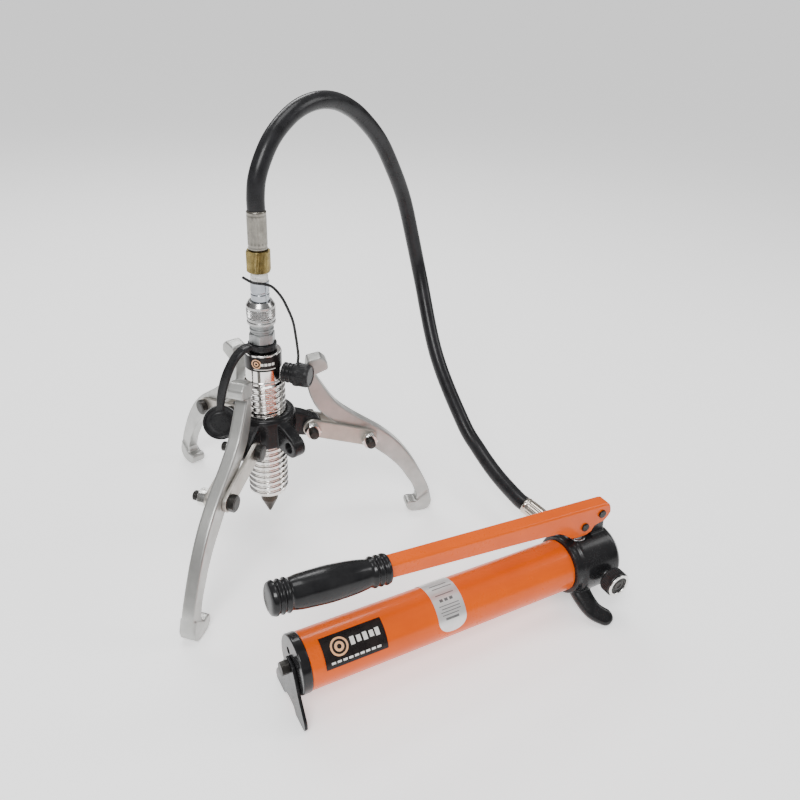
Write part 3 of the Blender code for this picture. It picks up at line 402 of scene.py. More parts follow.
def spline(knots: Sequence[Sequence[float]], count: int, closed: bool = False, span: int = 24) -> Array:
    """Even points on the Catmull-Rom curve through some knots.

    Between knots p1 and p2 the curve is (2 p1 + (p2 - p0) t + (2 p0 - 5 p1 + 4 p2 - p3) t^2
    + (3 p1 - p0 - 3 p2 + p3) t^3) / 2.

    Args:
        knots: Points the curve passes through.
        count: How many points to return.
        closed: Whether the curve comes back to its first knot.
        span: Fine steps between knots.

    Returns:
        The points, as rows.
    """
    line = np.asarray(knots, float)
    if closed:
        padded = np.vstack([line[-1:], line, line[:2]])
    else:
        padded = np.vstack([2 * line[0] - line[1], line, 2 * line[-1] - line[-2]])
    p0, p1, p2, p3 = padded[:-3, None], padded[1:-2, None], padded[2:-1, None], padded[3:, None]
    t = np.linspace(0, 1, span, endpoint=False)[None, :, None]
    fine = 0.5 * (2 * p1 + (p2 - p0) * t + (2 * p0 - 5 * p1 + 4 * p2 - p3) * t ** 2
                  + (3 * p1 - p0 - 3 * p2 + p3) * t ** 3)
    fine = np.vstack([fine.reshape(-1, line.shape[1]), line[:1] if closed else line[-1:]])
    travelled = np.concatenate([[0.0], np.cumsum(np.linalg.norm(np.diff(fine, axis=0), axis=1))])
    wanted = np.linspace(0, travelled[-1], count, endpoint=not closed)
    return np.column_stack([np.interp(wanted, travelled, fine[:, axis]) for axis in range(line.shape[1])])


def skin(rings: Array, cap: Cap) -> Shell:
    """Faces between rings of points, each joined to the next and round on itself.

    Args:
        rings: Points as (ring, place on the ring, xyz).
        cap: How the first and last rings are closed.

    Returns:
        The closed skin.
    """
    rows, columns, _ = rings.shape
    index = np.arange(rows * columns).reshape(rows, columns)
    used = rows if cap is Cap.JOINED else rows - 1
    low, high = index[:used], np.roll(index, -1, axis=0)[:used]
    quads = np.stack([low, np.roll(low, -1, 1), np.roll(high, -1, 1), high], axis=-1).reshape(-1, 4)
    points = rings.reshape(-1, 3)
    faces = quads.tolist()
    if cap is Cap.POLYGON:
        faces += [index[0][::-1].tolist(), index[-1].tolist()]
    if cap is Cap.FAN:
        centres = np.stack([rings[0].mean(0), rings[-1].mean(0)])
        points = np.vstack([points, centres])
        for ring, centre in ((index[0][::-1], rows * columns), (index[-1], rows * columns + 1)):
            faces += np.stack([ring, np.roll(ring, -1), np.full(columns, centre)], axis=1).tolist()
    return Shell(points, faces)


def revolved(profile: Array, sides: int = 96, ripple: Callable[[Array, Array], Array] | None = None) -> Shell:
    """A (radius, height) profile turned about local Z: x = r cos a, y = r sin a, z = h.

    Args:
        profile: Rows of radius and height. It closes on the axis where it starts there, or on itself.
        sides: Points round.
        ripple: Gives what to add to the radius from the angle and the height.

    Returns:
        The closed skin.
    """
    rows = np.asarray(profile, float)
    solid = rows[0, 0] < 1e-6
    if solid:
        rows = rows[1:-1]
    angle = np.arange(sides)[None, :] * TAU / sides
    radius = np.repeat(rows[:, :1], sides, axis=1)
    height = np.repeat(rows[:, 1:], sides, axis=1)
    if ripple is not None:
        radius = radius + ripple(angle, height)
    rings = np.stack([radius * np.cos(angle), radius * np.sin(angle), height], axis=-1)
    return skin(rings, Cap.FAN if solid else Cap.JOINED)


def inset(outline: Array, distance: Array) -> Array:
    """A closed outline drawn in by each of several distances along its normals.

    Args:
        outline: Rows of (u, v), in either direction.
        distance: How far to draw it in, one value for each result.

    Returns:
        Outlines as (distance, point, uv).
    """
    along = unit(np.roll(outline, -1, axis=0) - np.roll(outline, 1, axis=0))
    normal = np.stack([along[:, 1], -along[:, 0]], axis=1)
    area = np.sum(outline[:, 0] * np.roll(outline[:, 1], -1) - np.roll(outline[:, 0], -1) * outline[:, 1])
    return outline[None] - np.sign(area) * normal[None] * distance[:, None, None]


def plate(outline: Array, low: float, high: float, edge: float, hole: tuple[float, float, float] | None = None,
          steps: int = 4) -> Shell:
    """A flat piece with quarter-round edges: the outline is drawn in by edge (1 - sin t) at edge (1 - cos t).

    Args:
        outline: Rows of (u, v) round the piece.
        low: Where the piece starts along local Z.
        high: Where it ends.
        edge: Radius of its edges.
        hole: Centre u, centre v and radius of a through hole that every outline point can see.
        steps: Pieces in each rounded edge.

    Returns:
        The closed skin.
    """
    t = np.linspace(0, np.pi / 2, steps + 1)
    drawn = edge * (1 - np.sin(t))
    rise = edge * (1 - np.cos(t))
    inward = np.concatenate([[edge * 1.4], drawn, drawn[::-1], [edge * 1.4]])
    levels = np.concatenate([[low], low + rise, high - rise[::-1], [high]])
    flat = inset(outline, inward)
    rings = np.concatenate([flat, np.repeat(levels[:, None, None], len(outline), axis=1)], axis=-1)
    if hole is None:
        return skin(rings, Cap.POLYGON)
    centre = np.array(hole[:2])
    circle = centre + unit(outline - centre) * hole[2]
    through = np.stack([np.column_stack([circle, np.full(len(circle), level)]) for level in (high, low)])
    return skin(np.concatenate([rings, through]), Cap.JOINED)


def hexagon(across_corners: float, low: float, high: float, bore: float = 0.0, teeth: int = 0,
            depth: float = 0.0) -> Shell:
    """A chamfered hexagon: its radius is apothem / cos(a folded into 60 degrees), and the ends slope off by 30 degrees.

    Args:
        across_corners: Size over the corners.
        low: Its start along local Z.
        high: Its end.
        bore: Radius of its through hole, or 0.
        teeth: Lengthwise serrations round it.
        depth: How deep they are.

    Returns:
        The closed skin.
    """
    sides = 240
    angle = np.arange(sides) * TAU / sides
    apothem = across_corners / 2 * np.cos(np.pi / 6)
    folded = np.mod(angle, np.pi / 3) - np.pi / 6
    radius = np.minimum(apothem / np.cos(folded), across_corners / 2 * 0.985)
    if teeth:
        radius = radius - depth * (0.5 + 0.5 * np.cos(teeth * angle))
    chamfered = np.minimum(radius, apothem * 1.01)
    drop = (radius - chamfered) * 0.6 + 0.25
    zero = np.zeros(sides)
    rows = [(chamfered - 0.5, zero + low), (chamfered, zero + low), (radius, low + drop), (radius, high - drop),
            (chamfered, zero + high), (chamfered - 0.5, zero + high)]
    if bore:
        rows += [(zero + bore, zero + high), (zero + bore, zero + low)]
    rings = np.stack([np.stack([r * np.cos(angle), r * np.sin(angle), z], axis=-1) for r, z in rows])
    return skin(rings, Cap.JOINED if bore else Cap.FAN)


def swept(path: Array, guide: Sequence, widths: Array, depths: Array, sides: int = 40,
          squareness: float = 2.0) -> Shell:
    """A section carried along a path: |x/w|^p + |y/d|^p = 1, with its width along the guide.

    Args:
        path: Rows of xyz.
        guide: One direction, or one for each row.
        widths: Half width at each row.
        depths: Half depth at each row.
        sides: Points round the section.
        squareness: The power p, 2 for an ellipse and more for a squarer section.

    Returns:
        The closed skin.
    """
    along = unit(np.gradient(path, axis=0))
    guides = np.broadcast_to(np.asarray(guide, float), path.shape)
    side = unit(guides - along * np.sum(guides * along, axis=1, keepdims=True))
    across = np.cross(along, side)
    angle = np.arange(sides) * TAU / sides
    power = 2 / squareness
    u = np.sign(np.cos(angle)) * np.abs(np.cos(angle)) ** power
    v = np.sign(np.sin(angle)) * np.abs(np.sin(angle)) ** power
    rings = (path[:, None] + side[:, None] * (widths[:, None] * u[None])[..., None]
             + across[:, None] * (depths[:, None] * v[None])[..., None])
    return skin(rings, Cap.FAN)


def raw_mesh(name: str, shells: Sequence[Shell]) -> bpy.types.Mesh:
    """One mesh from several skins, in metres in the model's frame, with its faces turned out.

    Args:
        name: The mesh's name.
        shells: Skins in bench millimetres.

    Returns:
        The mesh.
    """
    starts = np.cumsum([0] + [len(shell.points) for shell in shells])
    points = (np.vstack([shell.points for shell in shells]) + BENCH) * MM
    faces = [[int(start) + corner for corner in face] for start, shell in zip(starts, shells)
             for face in shell.faces]
    mesh = bpy.data.meshes.new(name)
    mesh.from_pydata(points.tolist(), [], faces)
    work = bmesh.new()
    work.from_mesh(mesh)
    bmesh.ops.recalc_face_normals(work, faces=work.faces)
    work.to_mesh(mesh)
    work.free()
    return mesh


def evaluated(mesh: bpy.types.Mesh, settings: Sequence[tuple[str, dict]]) -> bpy.types.Mesh:
    """A mesh after some modifiers.

    Args:
        mesh: What the modifiers act on. It is used up.
        settings: Each modifier's type and its properties.

    Returns:
        The finished mesh.
    """
    work = bpy.data.objects.new("work", mesh)
    bpy.context.scene.collection.objects.link(work)
    for kind, values in settings:
        step = work.modifiers.new(kind.lower(), kind)
        for key, value in values.items():
            setattr(step, key, value)
    bpy.context.view_layer.update()
    graph = bpy.context.evaluated_depsgraph_get()
    result = bpy.data.meshes.new_from_object(work.evaluated_get(graph))
    bpy.data.objects.remove(work, do_unlink=True)
    return result


def fused(name: str, shells: Sequence[Shell], voxel: float, smoothing: int) -> bpy.types.Mesh:
    """One skin round overlapping shells, with blended corners as on a casting.

    Args:
        name: The mesh's name.
        shells: Overlapping skins in bench millimetres.
        voxel: Cell size in millimetres.
        smoothing: How many times the skin is smoothed.

    Returns:
        The mesh.
    """
    mesh = evaluated(raw_mesh(name, shells), [
        ("REMESH", {"mode": "VOXEL", "voxel_size": voxel * MM, "use_smooth_shade": True}),
        ("SMOOTH", {"factor": 0.5, "iterations": smoothing})])
    mesh.name = name
    return mesh


def cut(mesh: bpy.types.Mesh, cutters: Sequence[Shell]) -> bpy.types.Mesh:
    """A mesh with some skins' insides taken out of it.

    Args:
        mesh: What is cut. It is used up.
        cutters: Skins in bench millimetres, cut one after another.

    Returns:
        The mesh that is left.
    """
    tools = []
    for shell in cutters:
        tool = bpy.data.objects.new("cutter", raw_mesh("cutter", [shell]))
        bpy.context.scene.collection.objects.link(tool)
        tools.append(tool)
    result = evaluated(mesh, [("BOOLEAN", {"operation": "DIFFERENCE", "solver": "EXACT", "object": tool})
                              for tool in tools])
    for tool in tools:
        bpy.data.objects.remove(tool, do_unlink=True)
    return result


def put(name: str, source: Sequence[Shell] | bpy.types.Mesh, finish: Finish, body: str,
        nodes: Sequence[str] = (), sharp: float = 32.0) -> bpy.types.Object:
    """Puts a finished piece into the scene, riding on its body and standing for its CAD nodes.

    Args:
        name: The piece's name.
        source: Its skins in bench millimetres, or a mesh in metres.
        finish: Its surface.
        body: The body it moves with.
        nodes: The CAD nodes it stands for.
        sharp: Edges that turn more than this many degrees stay crisp.

    Returns:
        The object.
    """
    mesh = source if isinstance(source, bpy.types.Mesh) else raw_mesh(name, source)
    mesh.polygons.foreach_set("use_smooth", np.ones(len(mesh.polygons), bool))
    mesh.set_sharp_from_angle(angle=float(np.radians(sharp)))
    mesh.materials.clear()
    mesh.materials.append(finish.material())
    piece = bpy.data.objects.new(name, mesh)
    bpy.context.scene.collection.objects.link(piece)
    if nodes:
        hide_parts(*nodes)
    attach(piece, body)
    LOG.info("%s: %d faces on %s", name, len(mesh.polygons), body)
    return piece


def dress(finish: Finish, *nodes: str) -> None:
    """Gives CAD nodes that keep their shape a finish.

    Args:
        finish: The surface.
        nodes: The nodes' names.
    """
    for node in nodes:
        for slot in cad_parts[node].material_slots:
            slot.material = finish.material()


def bevelled(node: str, name: str, finish: Finish, body: str, width: float) -> bpy.types.Object:
    """A copy of a flat-sided CAD node with its loose triangles merged and its edges softened.

    Args:
        node: The CAD node.
        name: The new piece's name.
        finish: Its surface.
        body: The body it moves with.
        width: The edges' size in millimetres.

    Returns:
        The object.
    """
    work = bmesh.new()
    work.from_mesh(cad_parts[node].data)
    bmesh.ops.remove_doubles(work, verts=work.verts, dist=0.000005)
    bmesh.ops.dissolve_limit(work, angle_limit=0.01, verts=work.verts, edges=work.edges)
    mesh = bpy.data.meshes.new(name)
    work.to_mesh(mesh)
    work.free()
    piece = put(name, mesh, finish, body, (node,))
    step = piece.modifiers.new("soft_edges", "BEVEL")
    step.width = width * MM
    step.segments = 3
    step.angle_limit = float(np.radians(32))
    step.harden_normals = True
    return piece


@dataclass(frozen=True)
class Cylinder:
    """Threaded barrel of the puller, with its gland, ram, spring, cone tip and label band."""

    bottom: float = 62.0
    top: float = 262.0
    thread_top: float = 225.0
    pitch: float = 8.0
    crest: float = 25.0
    root: float = 22.0
    plain: float = 21.5
    bore: float = 17.0
    label: tuple[float, float] = (241.5, 259.5)

    def thread(self, angle: Array, height: Array) -> Array:
        """Depth of a single-start thread at an angle and a height.

        The phase is height / pitch - angle / (one turn). The crest and root are flats joined by straight flanks,
        and the thread fades out over its last half turns.

        Args:
            angle: Angle round the barrel.
            height: Height along it.

        Returns:
            What to add to the root radius.
        """
        phase = np.mod((height - self.bottom) / self.pitch - angle / TAU, 1.0)
        wave = np.clip(0.5 + 1.75 * (np.abs(phase - 0.5) * 2 - 0.5), 0.0, 1.0)
        wave = wave * wave * (3 - 2 * wave)
        fade = np.clip((height - self.bottom) / 2.5, 0, 1) * np.clip((self.thread_top + 1 - height) / 3.0, 0, 1)
        return (self.crest - self.root) * wave * fade

    def build(self) -> None:
        """Makes and dresses every piece of the cylinder."""
        heights = np.arange(self.bottom + 0.4, self.thread_top + 1.0, 0.42)
        threaded = np.column_stack([np.full(len(heights), self.root), heights])
        top = rounded([(self.root, self.thread_top + 1.0), (self.plain, self.thread_top + 1.6),
                       (self.plain, self.top), (5.0, self.top), (5.0, 236.0), (self.bore, 236.0),
                       (self.bore, self.bottom), (self.root, self.bottom)], 1.0)
        profile = np.vstack([threaded, top[1:-1], [[self.root - 0.4, self.bottom]]])
        barrel = revolved(profile, 112, lambda a, h: np.where(
            (np.arange(len(h))[:, None] < len(heights)), self.thread(a, h), 0.0))
        put("threaded_barrel", [barrel.moved(ON_PULLER)], CHROME, "frame", ("cylinder_barrel",))
        cone = rounded([(0, 24), (1.6, 25), (11, 46), (11, 54), (0, 54)], 0.8)
        grooved = revolved(cone, 96)
        put("cone_point", [grooved.moved(ON_PULLER)], CONE_DARK, "ram", ("cone_tip",))
        dress(MACHINED, "ram_gland", "ram_piston")
        dress(SEAL_RED, "piston_seal")
        dress(SPRING_WIRE, "return_spring")
        low, high = self.label
        inner = self.plain + 0.1
        band = rounded([(inner, low), (inner + 0.45, low), (inner + 0.45, high), (inner, high)], 0.12, True, 2)
        put("cylinder_band", [revolved(band, 128).moved(ON_PULLER)], LABEL_BLACK, "frame", ("cylinder_label",))
        self.marks(inner + 0.45)

    def marks(self, radius: float) -> None:
        """Generic ring and bars printed on the label band.

        Args:
            radius: The band's outer radius.
        """
        facing = -105.0
        middle = (self.label[0] + self.label[1]) / 2
        arc = radius * np.pi / 180
        ring = wrapped_ring((0.0, middle + 1.0), 4.6, 5.9, radius, facing - 26, ON_PULLER)
        inner = wrapped_ring((0.0, middle + 1.0), 1.4, 2.9, radius, facing - 26, ON_PULLER)
        put("band_ring_mark", [ring, inner], PRINT_PEACH, "frame")
        bars = [wrapped_bar(start * arc, middle + 0.2, width * arc, tall, radius, facing, ON_PULLER)
                for start, width, tall in ((-8, 9, 3.4), (3.5, 9, 3.4), (15, 9, 3.4), (26.5, 9, 3.4))]
        bars.append(wrapped_bar(0.0, middle - 6.2, 70 * arc, 1.0, radius, facing, ON_PULLER))
        put("band_bar_marks", bars, PRINT_WHITE, "frame")


def wrapped(flat: Array, radius: float, facing: float, matrix: Array, thickness: float = 0.06) -> Shell:
    """A flat patch laid on a round surface: angle = u / radius past the facing, height = v.

    Args:
        flat: Grid of (u, v), with its first index running round a closed strip or across an open one.
        radius: The surface's radius.
        facing: Where u is 0, in degrees.
        matrix: Carries local cylinder coordinates to the bench.
        thickness: How proud the patch stands.

    Returns:
        A thin closed skin.
    """
    angle = np.radians(facing) + flat[..., 0] / radius
    layers = [np.stack([r * np.cos(angle), r * np.sin(angle), flat[..., 1]], axis=-1)
              for r in (radius + 0.01, radius + thickness)]
    return Shell(np.concatenate([layer.reshape(-1, 3) for layer in layers]), []).moved(matrix)


def wrapped_bar(u: float, v: float, width: float, height: float, radius: float, facing: float,
                matrix: Array) -> Shell:
    """A printed bar on a round surface.

    Args:
        u: Middle of the bar round the surface.
        v: Middle of the bar along it.
        width: Size round the surface.
        height: Size along it.
        radius: The surface's radius.
        facing: Where u is 0, in degrees.
        matrix: Carries local cylinder coordinates to the bench.

    Returns:
        A thin closed skin.
    """
    count = 12
    across = np.linspace(-0.5, 0.5, count) * width + u
    grid = np.stack([np.stack([across, np.full(count, v - height / 2)], axis=-1),
                     np.stack([across, np.full(count, v + height / 2)], axis=-1)])
    shell = wrapped(grid, radius, facing, matrix)
    low, high = shell.points.reshape(2, 2, count, 3)
    rings = np.stack([low[0], low[1], high[1], high[0]], axis=1)
    return skin(rings, Cap.POLYGON)


def wrapped_ring(centre: tuple[float, float], inner: float, outer: float, radius: float, facing: float,
                 matrix: Array) -> Shell:
    """A printed ring on a round surface.

    Args:
        centre: Middle of the ring, round the surface and along it.
        inner: Its inner radius.
        outer: Its outer radius.
        radius: The surface's radius.
        facing: Where the centre's first number is 0, in degrees.
        matrix: Carries local cylinder coordinates to the bench.

    Returns:
        A thin closed skin.
    """
    count = 64
    angle = np.arange(count) * TAU / count
    circle = np.stack([np.cos(angle), np.sin(angle)], axis=-1)
    grid = np.stack([np.asarray(centre) + circle * r for r in (inner, outer)])
    shell = wrapped(grid, radius, facing, matrix)
    low, high = shell.points.reshape(2, 2, count, 3)
    return skin(np.stack([low[0], low[1], high[1], high[0]]), Cap.JOINED)


@dataclass(frozen=True)
class Hub:
    """Cast ring on the cylinder's thread, with four drilled ears."""

    low: float = 142.0
    high: float = 182.0
    radius: float = 36.0
    bore: float = 25.4
    ear: tuple[float, float] = (56.0, 153.0)
    ear_radius: float = 13.5
    ear_half: float = 8.0
    hole: float = 6.4
    spare: float = -74.3

    def ear_shell(self, azimuth: float) -> Shell:
        """One ear: a round lobe about its hole, joined to the ring by a tapering arm.

        Args:
            azimuth: Where the ear points, in degrees.

        Returns:
            The ear's skin.
        """
        angle = np.radians(np.linspace(-100, 70, 24))
        lobe = np.asarray(self.ear) + self.ear_radius * np.stack([np.cos(angle), np.sin(angle)], axis=1)
        arm = np.vstack([[(29.0, self.low + 1)], lobe, [(45.0, self.high - 9), (29.0, self.high - 4)]])
        outline = spline(rounded(arm, 2.0, True), 160, True, 6)
        return plate(outline, -self.ear_half, self.ear_half, 2.0, (*self.ear, self.hole)).moved(out_and_up(azimuth))

    def build(self) -> None:
        """Makes and dresses the hub."""
        ring = rounded([(self.bore, self.low), (self.radius, self.low), (self.radius, self.high - 3),
                        (self.radius - 4, self.high), (self.bore, self.high)], 2.6, True)
        shells = [revolved(ring, 144).moved(ON_PULLER)]
        shells += [self.ear_shell(azimuth) for azimuth in [side.value for side in Side] + [self.spare]]
        put("cast_hub", fused("cast_hub", shells, 0.9, 4), CAST_BLACK, "hub_body", ("hub",), 180)


@dataclass(frozen=True)
class JawSet:
    """One forged jaw with its pair of straps and its two bolts."""

    side: Side
    outer: tuple = ((61, 226), (72, 207), (87.5, 184), (107.5, 166.5), (128.5, 151.5), (150.5, 135.5),
                    (171.5, 115), (190, 90), (205, 63), (217, 37), (222, 16))
    foot: tuple = ((221, 8), (216, 2.2), (208, 0.3), (195, 0.8), (188.5, 5), (186, 11), (188, 17), (199.5, 17))
    inner: tuple = ((200.5, 26), (194, 43), (185, 58), (174, 75), (159, 92), (141, 108), (114, 132), (88, 153),
                    (67, 172), (56, 192), (51, 212), (50, 232))
    head: tuple = ((50, 232), (51.5, 246), (68, 249.5), (75.5, 243), (77, 233), (61, 226))
    ear: tuple[float, float] = (56.0, 153.0)
    pin: tuple[float, float] = (128.5, 131.0)
    half: float = 7.5
    block_half: float = 9.8
    strap_half_width: float = 11.5
    strap: tuple[float, float] = (8.3, 13.3)
    across_corners: float = 20.8
    head_height: float = 7.5
    nut_height: float = 9.5
    tail: float = 8.0

    def jaw(self) -> None:
        """Forged jaw: a curved shank, a boss, a head block and a wider hooked foot, blended together."""
        frame_matrix = out_and_up(self.side.value)
        shank = np.vstack([spline(self.outer, 90), spline(self.foot, 50), spline(self.inner, 90)])
        angle = np.arange(64) * TAU / 64
        boss = np.asarray(self.pin) + 13.0 * np.stack([np.cos(angle), np.sin(angle)], axis=1)
        toe = np.vstack([[(216, 32)], self.outer[-1:], spline(self.foot, 40)])
        shells = [plate(shank, -self.half, self.half, 1.8), plate(boss, -self.half - 0.6, self.half + 0.6, 1.2),
                  plate(rounded(self.head, 2.5, True), -self.block_half, self.block_half, 1.5),
                  plate(rounded(toe, 1.0, True), -self.block_half, self.block_half, 1.5)]
        shells = [shell.moved(frame_matrix) for shell in shells]
        label = self.side.label
        put(f"forged_jaw_{label}", fused("jaw", shells, 0.85, 3), FORGED, f"jaw_arm_{label}", (f"jaw_{label}",), 180)

    def straps(self) -> None:
        """Two flat straps with round ends, from the hub's ear to the jaw."""
        start, end = np.asarray(self.ear), np.asarray(self.pin)
        heading = np.arctan2(*(end - start)[::-1])
        turn = heading + np.radians(np.linspace(-90, 90, 28))
        ends = [centre + self.strap_half_width * np.stack([np.cos(angle), np.sin(angle)], axis=1)
                for centre, angle in ((end, turn), (start, turn + np.pi))]
        outline = np.vstack(ends)
        label = self.side.label
        for half, sign in (("a", 1), ("b", -1)):
            low, high = sorted(sign * level for level in self.strap)
            shell = plate(outline, low, high, 0.9).moved(out_and_up(self.side.value))
            put(f"strap_{label}_{half}", [shell], STRAP_SATIN, f"link_{label}", (f"link_{label}_{half}",))

    def bolt(self, place: tuple[float, float], joint: str, body: str) -> None:
        """Hexagon bolt through the straps, with its nut.

        Args:
            place: Where the bolt passes, out and up.
            joint: What it holds, "hub" or "jaw".
            body: The body it moves with.
        """
        label = self.side.label
        stack = self.strap[1] + 0.3
        matrix = out_and_up(self.side.value) @ placed((1, 0, 0), (0, 1, 0), (0, 0, 1), (*place, 0))
        head = hexagon(self.across_corners, -stack - self.head_height, -stack)
        crown = revolved(rounded([(0, -stack - self.head_height - 0.35), (7.0, -stack - self.head_height - 0.35),
                                  (7.6, -stack - self.head_height + 0.4), (0, -stack - self.head_height + 0.4)], 0.3))
        end = stack + self.nut_height + self.tail
        heights = np.arange(stack - 2.0, end - 0.7, 0.22)
        shank = np.vstack([[(0, -stack), (5.9, -stack)], np.column_stack([np.full(len(heights), 5.55), heights]),
                           [(4.9, end), (0, end)]])
        thread = revolved(shank, 48, lambda a, h: np.where(
            (h > stack - 2.0) & (h < end - 0.5), 0.4 * (1 - np.abs(np.mod(h / 1.75 - a / TAU, 1.0) * 2 - 1)), 0.0))
        put(f"{joint}_bolt_{label}", [shell.moved(matrix) for shell in (head, crown, thread)], BLACK_OXIDE, body,
            (f"{joint}_{label}_bolt",), 40)
        nut = hexagon(self.across_corners, stack, stack + self.nut_height, 6.3)
        put(f"{joint}_nut_{label}", [nut.moved(matrix)], ZINC_BRIGHT, body, (f"{joint}_{label}_nut",))

    def build(self) -> None:
        """Makes and dresses the jaw, its straps and its bolts."""
        self.jaw()
        self.straps()
        self.bolt(self.ear, "hub", "hub_body")
        self.bolt(self.pin, "jaw", f"link_{self.side.label}")


@dataclass(frozen=True)
class Coupler:
    """Hexagon, turned body, knurled sleeve, stem, tape, brass nut and crimped ferrule over the cylinder."""

    hexagon_low: float = 271.8
    hexagon_high: float = 284.0
    sleeve_low: float = 296.5
    sleeve_high: float = 323.5
    sleeve_radius: float = 16.7
    stem_high: float = 347.0
    tape_high: float = 358.0
    brass_high: float = 382.7
    ferrule_high: float = 426.5
    ferrule_radius: float = 10.9

    def knurl(self, angle: Array, height: Array) -> Array:
        """Diamond knurl in the sleeve's middle band: two crossed families of ridges, whichever is higher.

        Args:
            angle: Angle round the sleeve.
            height: Height along it.

        Returns:
            What to add to the radius.
        """
        low, high = self.sleeve_low + 8.2, self.sleeve_high - 8.2
        band = np.clip((height - low) / 0.4, 0, 1) * np.clip((high - height) / 0.4, 0, 1)
        count, lead = 48, TAU / 2.2
        first = np.abs(np.sin((count * angle + lead * height) / 2))
        second = np.abs(np.sin((count * angle - lead * height) / 2))
        return band * 1.15 * (np.minimum(first, second) - 0.5)

    def build(self) -> None:
        """Makes and dresses every piece of the coupler."""
        body = revolved(rounded([(0, self.hexagon_high - 1), (13, self.hexagon_high - 1), (13, self.hexagon_high + 2.5),
                                 (14.2, self.hexagon_high + 3.5), (14.2, 290), (13.1, 290.6), (13.1, 292.2),
                                 (14.2, 292.8), (14.2, self.sleeve_low - 0.3), (0, self.sleeve_low - 0.3)], 0.35))
        collar = revolved(rounded([(0, 262.3), (8, 262.3), (8, 272.5), (0, 272.5)], 0.3), 64)
        flats = hexagon(32, self.hexagon_low, self.hexagon_high)
        put("coupler_hexagon", [shell.moved(ON_PULLER) for shell in (body, collar, flats)], ZINC, "frame",
            ("coupler_hex",))
        low, high, radius = self.sleeve_low, self.sleeve_high, self.sleeve_radius
        lower = rounded([(radius, low), (radius, low + 2.6), (radius - 1.1, low + 3.4), (radius - 1.1, low + 5.2),
                         (radius, low + 6.0), (radius, low + 7.6)], 0.5)
        middle = np.column_stack([np.full(56, radius - 0.35), np.linspace(low + 8, high - 8, 56)])
        upper = rounded([(radius, high - 7.6), (radius, high - 5.2), (radius - 3, high - 0.4),
                         (radius - 3.4, high), (11.1, high)], 0.5)
        inner = np.array([(11.1, low + 3.3), (13.3, low + 3.3), (13.3, low)])
        sleeve = revolved(np.vstack([lower, middle, upper, inner]), 384, self.knurl)
        put("knurled_sleeve", [sleeve.moved(ON_PULLER)], SLEEVE_STEEL, "sleeve", ("coupler_sleeve",), 50)
        stem = revolved(rounded([(0, low + 3.6), (10.8, low + 3.6), (10.8, high + 8), (10.1, high + 8.6),
                                 (10.1, high + 10.4), (10.8, high + 11), (10.8, self.stem_high), (8, self.stem_high),
                                 (8, self.tape_high + 8), (0, self.tape_high + 8)], 0.6))
        put("coupler_stem_turned", [stem.moved(ON_PULLER)], STEM_STEEL, "frame", ("coupler_stem",))
        heights = np.linspace(self.stem_high + 0.4, self.tape_high - 0.4, 40)
        wrap = np.vstack([[(8.3, heights[0])], np.column_stack([np.linspace(10.0, 9.5, 40), heights]),
                          [(8.3, heights[-1])]])
        tape = revolved(wrap, 120, lambda a, h: np.where(
            (h > heights[0]) & (h < heights[-1]), 0.22 * np.sin(3 * a + 1.9 * h) * np.sin(11 * a - 2.3 * h)
            + 0.25 * (np.mod(h / 2.4 - a / TAU, 1.0) - 0.5), 0.0))
        put("wrapped_tape", [tape.moved(ON_PULLER)], TAPE, "frame", ("thread_tape",), 60)
        brass = hexagon(29, self.tape_high, self.brass_high, 8.3, 48, 0.9)
        put("serrated_brass_nut", [brass.moved(ON_PULLER)], OLIVE_BRASS, "frame", ("brass_nut",), 24)
        put("puller_crimp", [crimp(self.ferrule_radius, self.brass_high + 0.3, self.ferrule_high).moved(ON_PULLER)],
            CRIMPED_STEEL, "frame", ("puller_ferrule",), 40)


def crimp(radius: float, low: float, high: float) -> Shell:
    """A crimped ferrule: shallow lengthwise flutes between two plain collars.

    Args:
        radius: Its outer radius.
        low: Where it starts along local Z.
        high: Where it ends.

    Returns:
        The closed skin.
    """
    heights = np.linspace(low + 1.5, high - 1.5, 40)
    profile = np.vstack([[(0, low), (radius - 1.2, low), (radius - 0.3, low + 0.8)],
                         np.column_stack([np.full(40, radius), heights]),
                         [(radius - 0.3, high - 0.8), (radius - 1.2, high), (0, high)]])

    def flutes(angle: Array, height: Array) -> Array:
        """Sixteen flutes, deepest in the middle of the length, and a ring groove near each end."""
        share = np.clip((height - low - 6) / 3, 0, 1) * np.clip((high - 6 - height) / 3, 0, 1)
        groove = np.exp(-((height - low - 4.2) / 0.6) ** 2) + np.exp(-((height - high + 4.2) / 0.6) ** 2)
        return -0.55 * share * np.abs(np.sin(8 * angle)) ** 3 - 0.5 * groove

    return revolved(profile, 128, flutes)


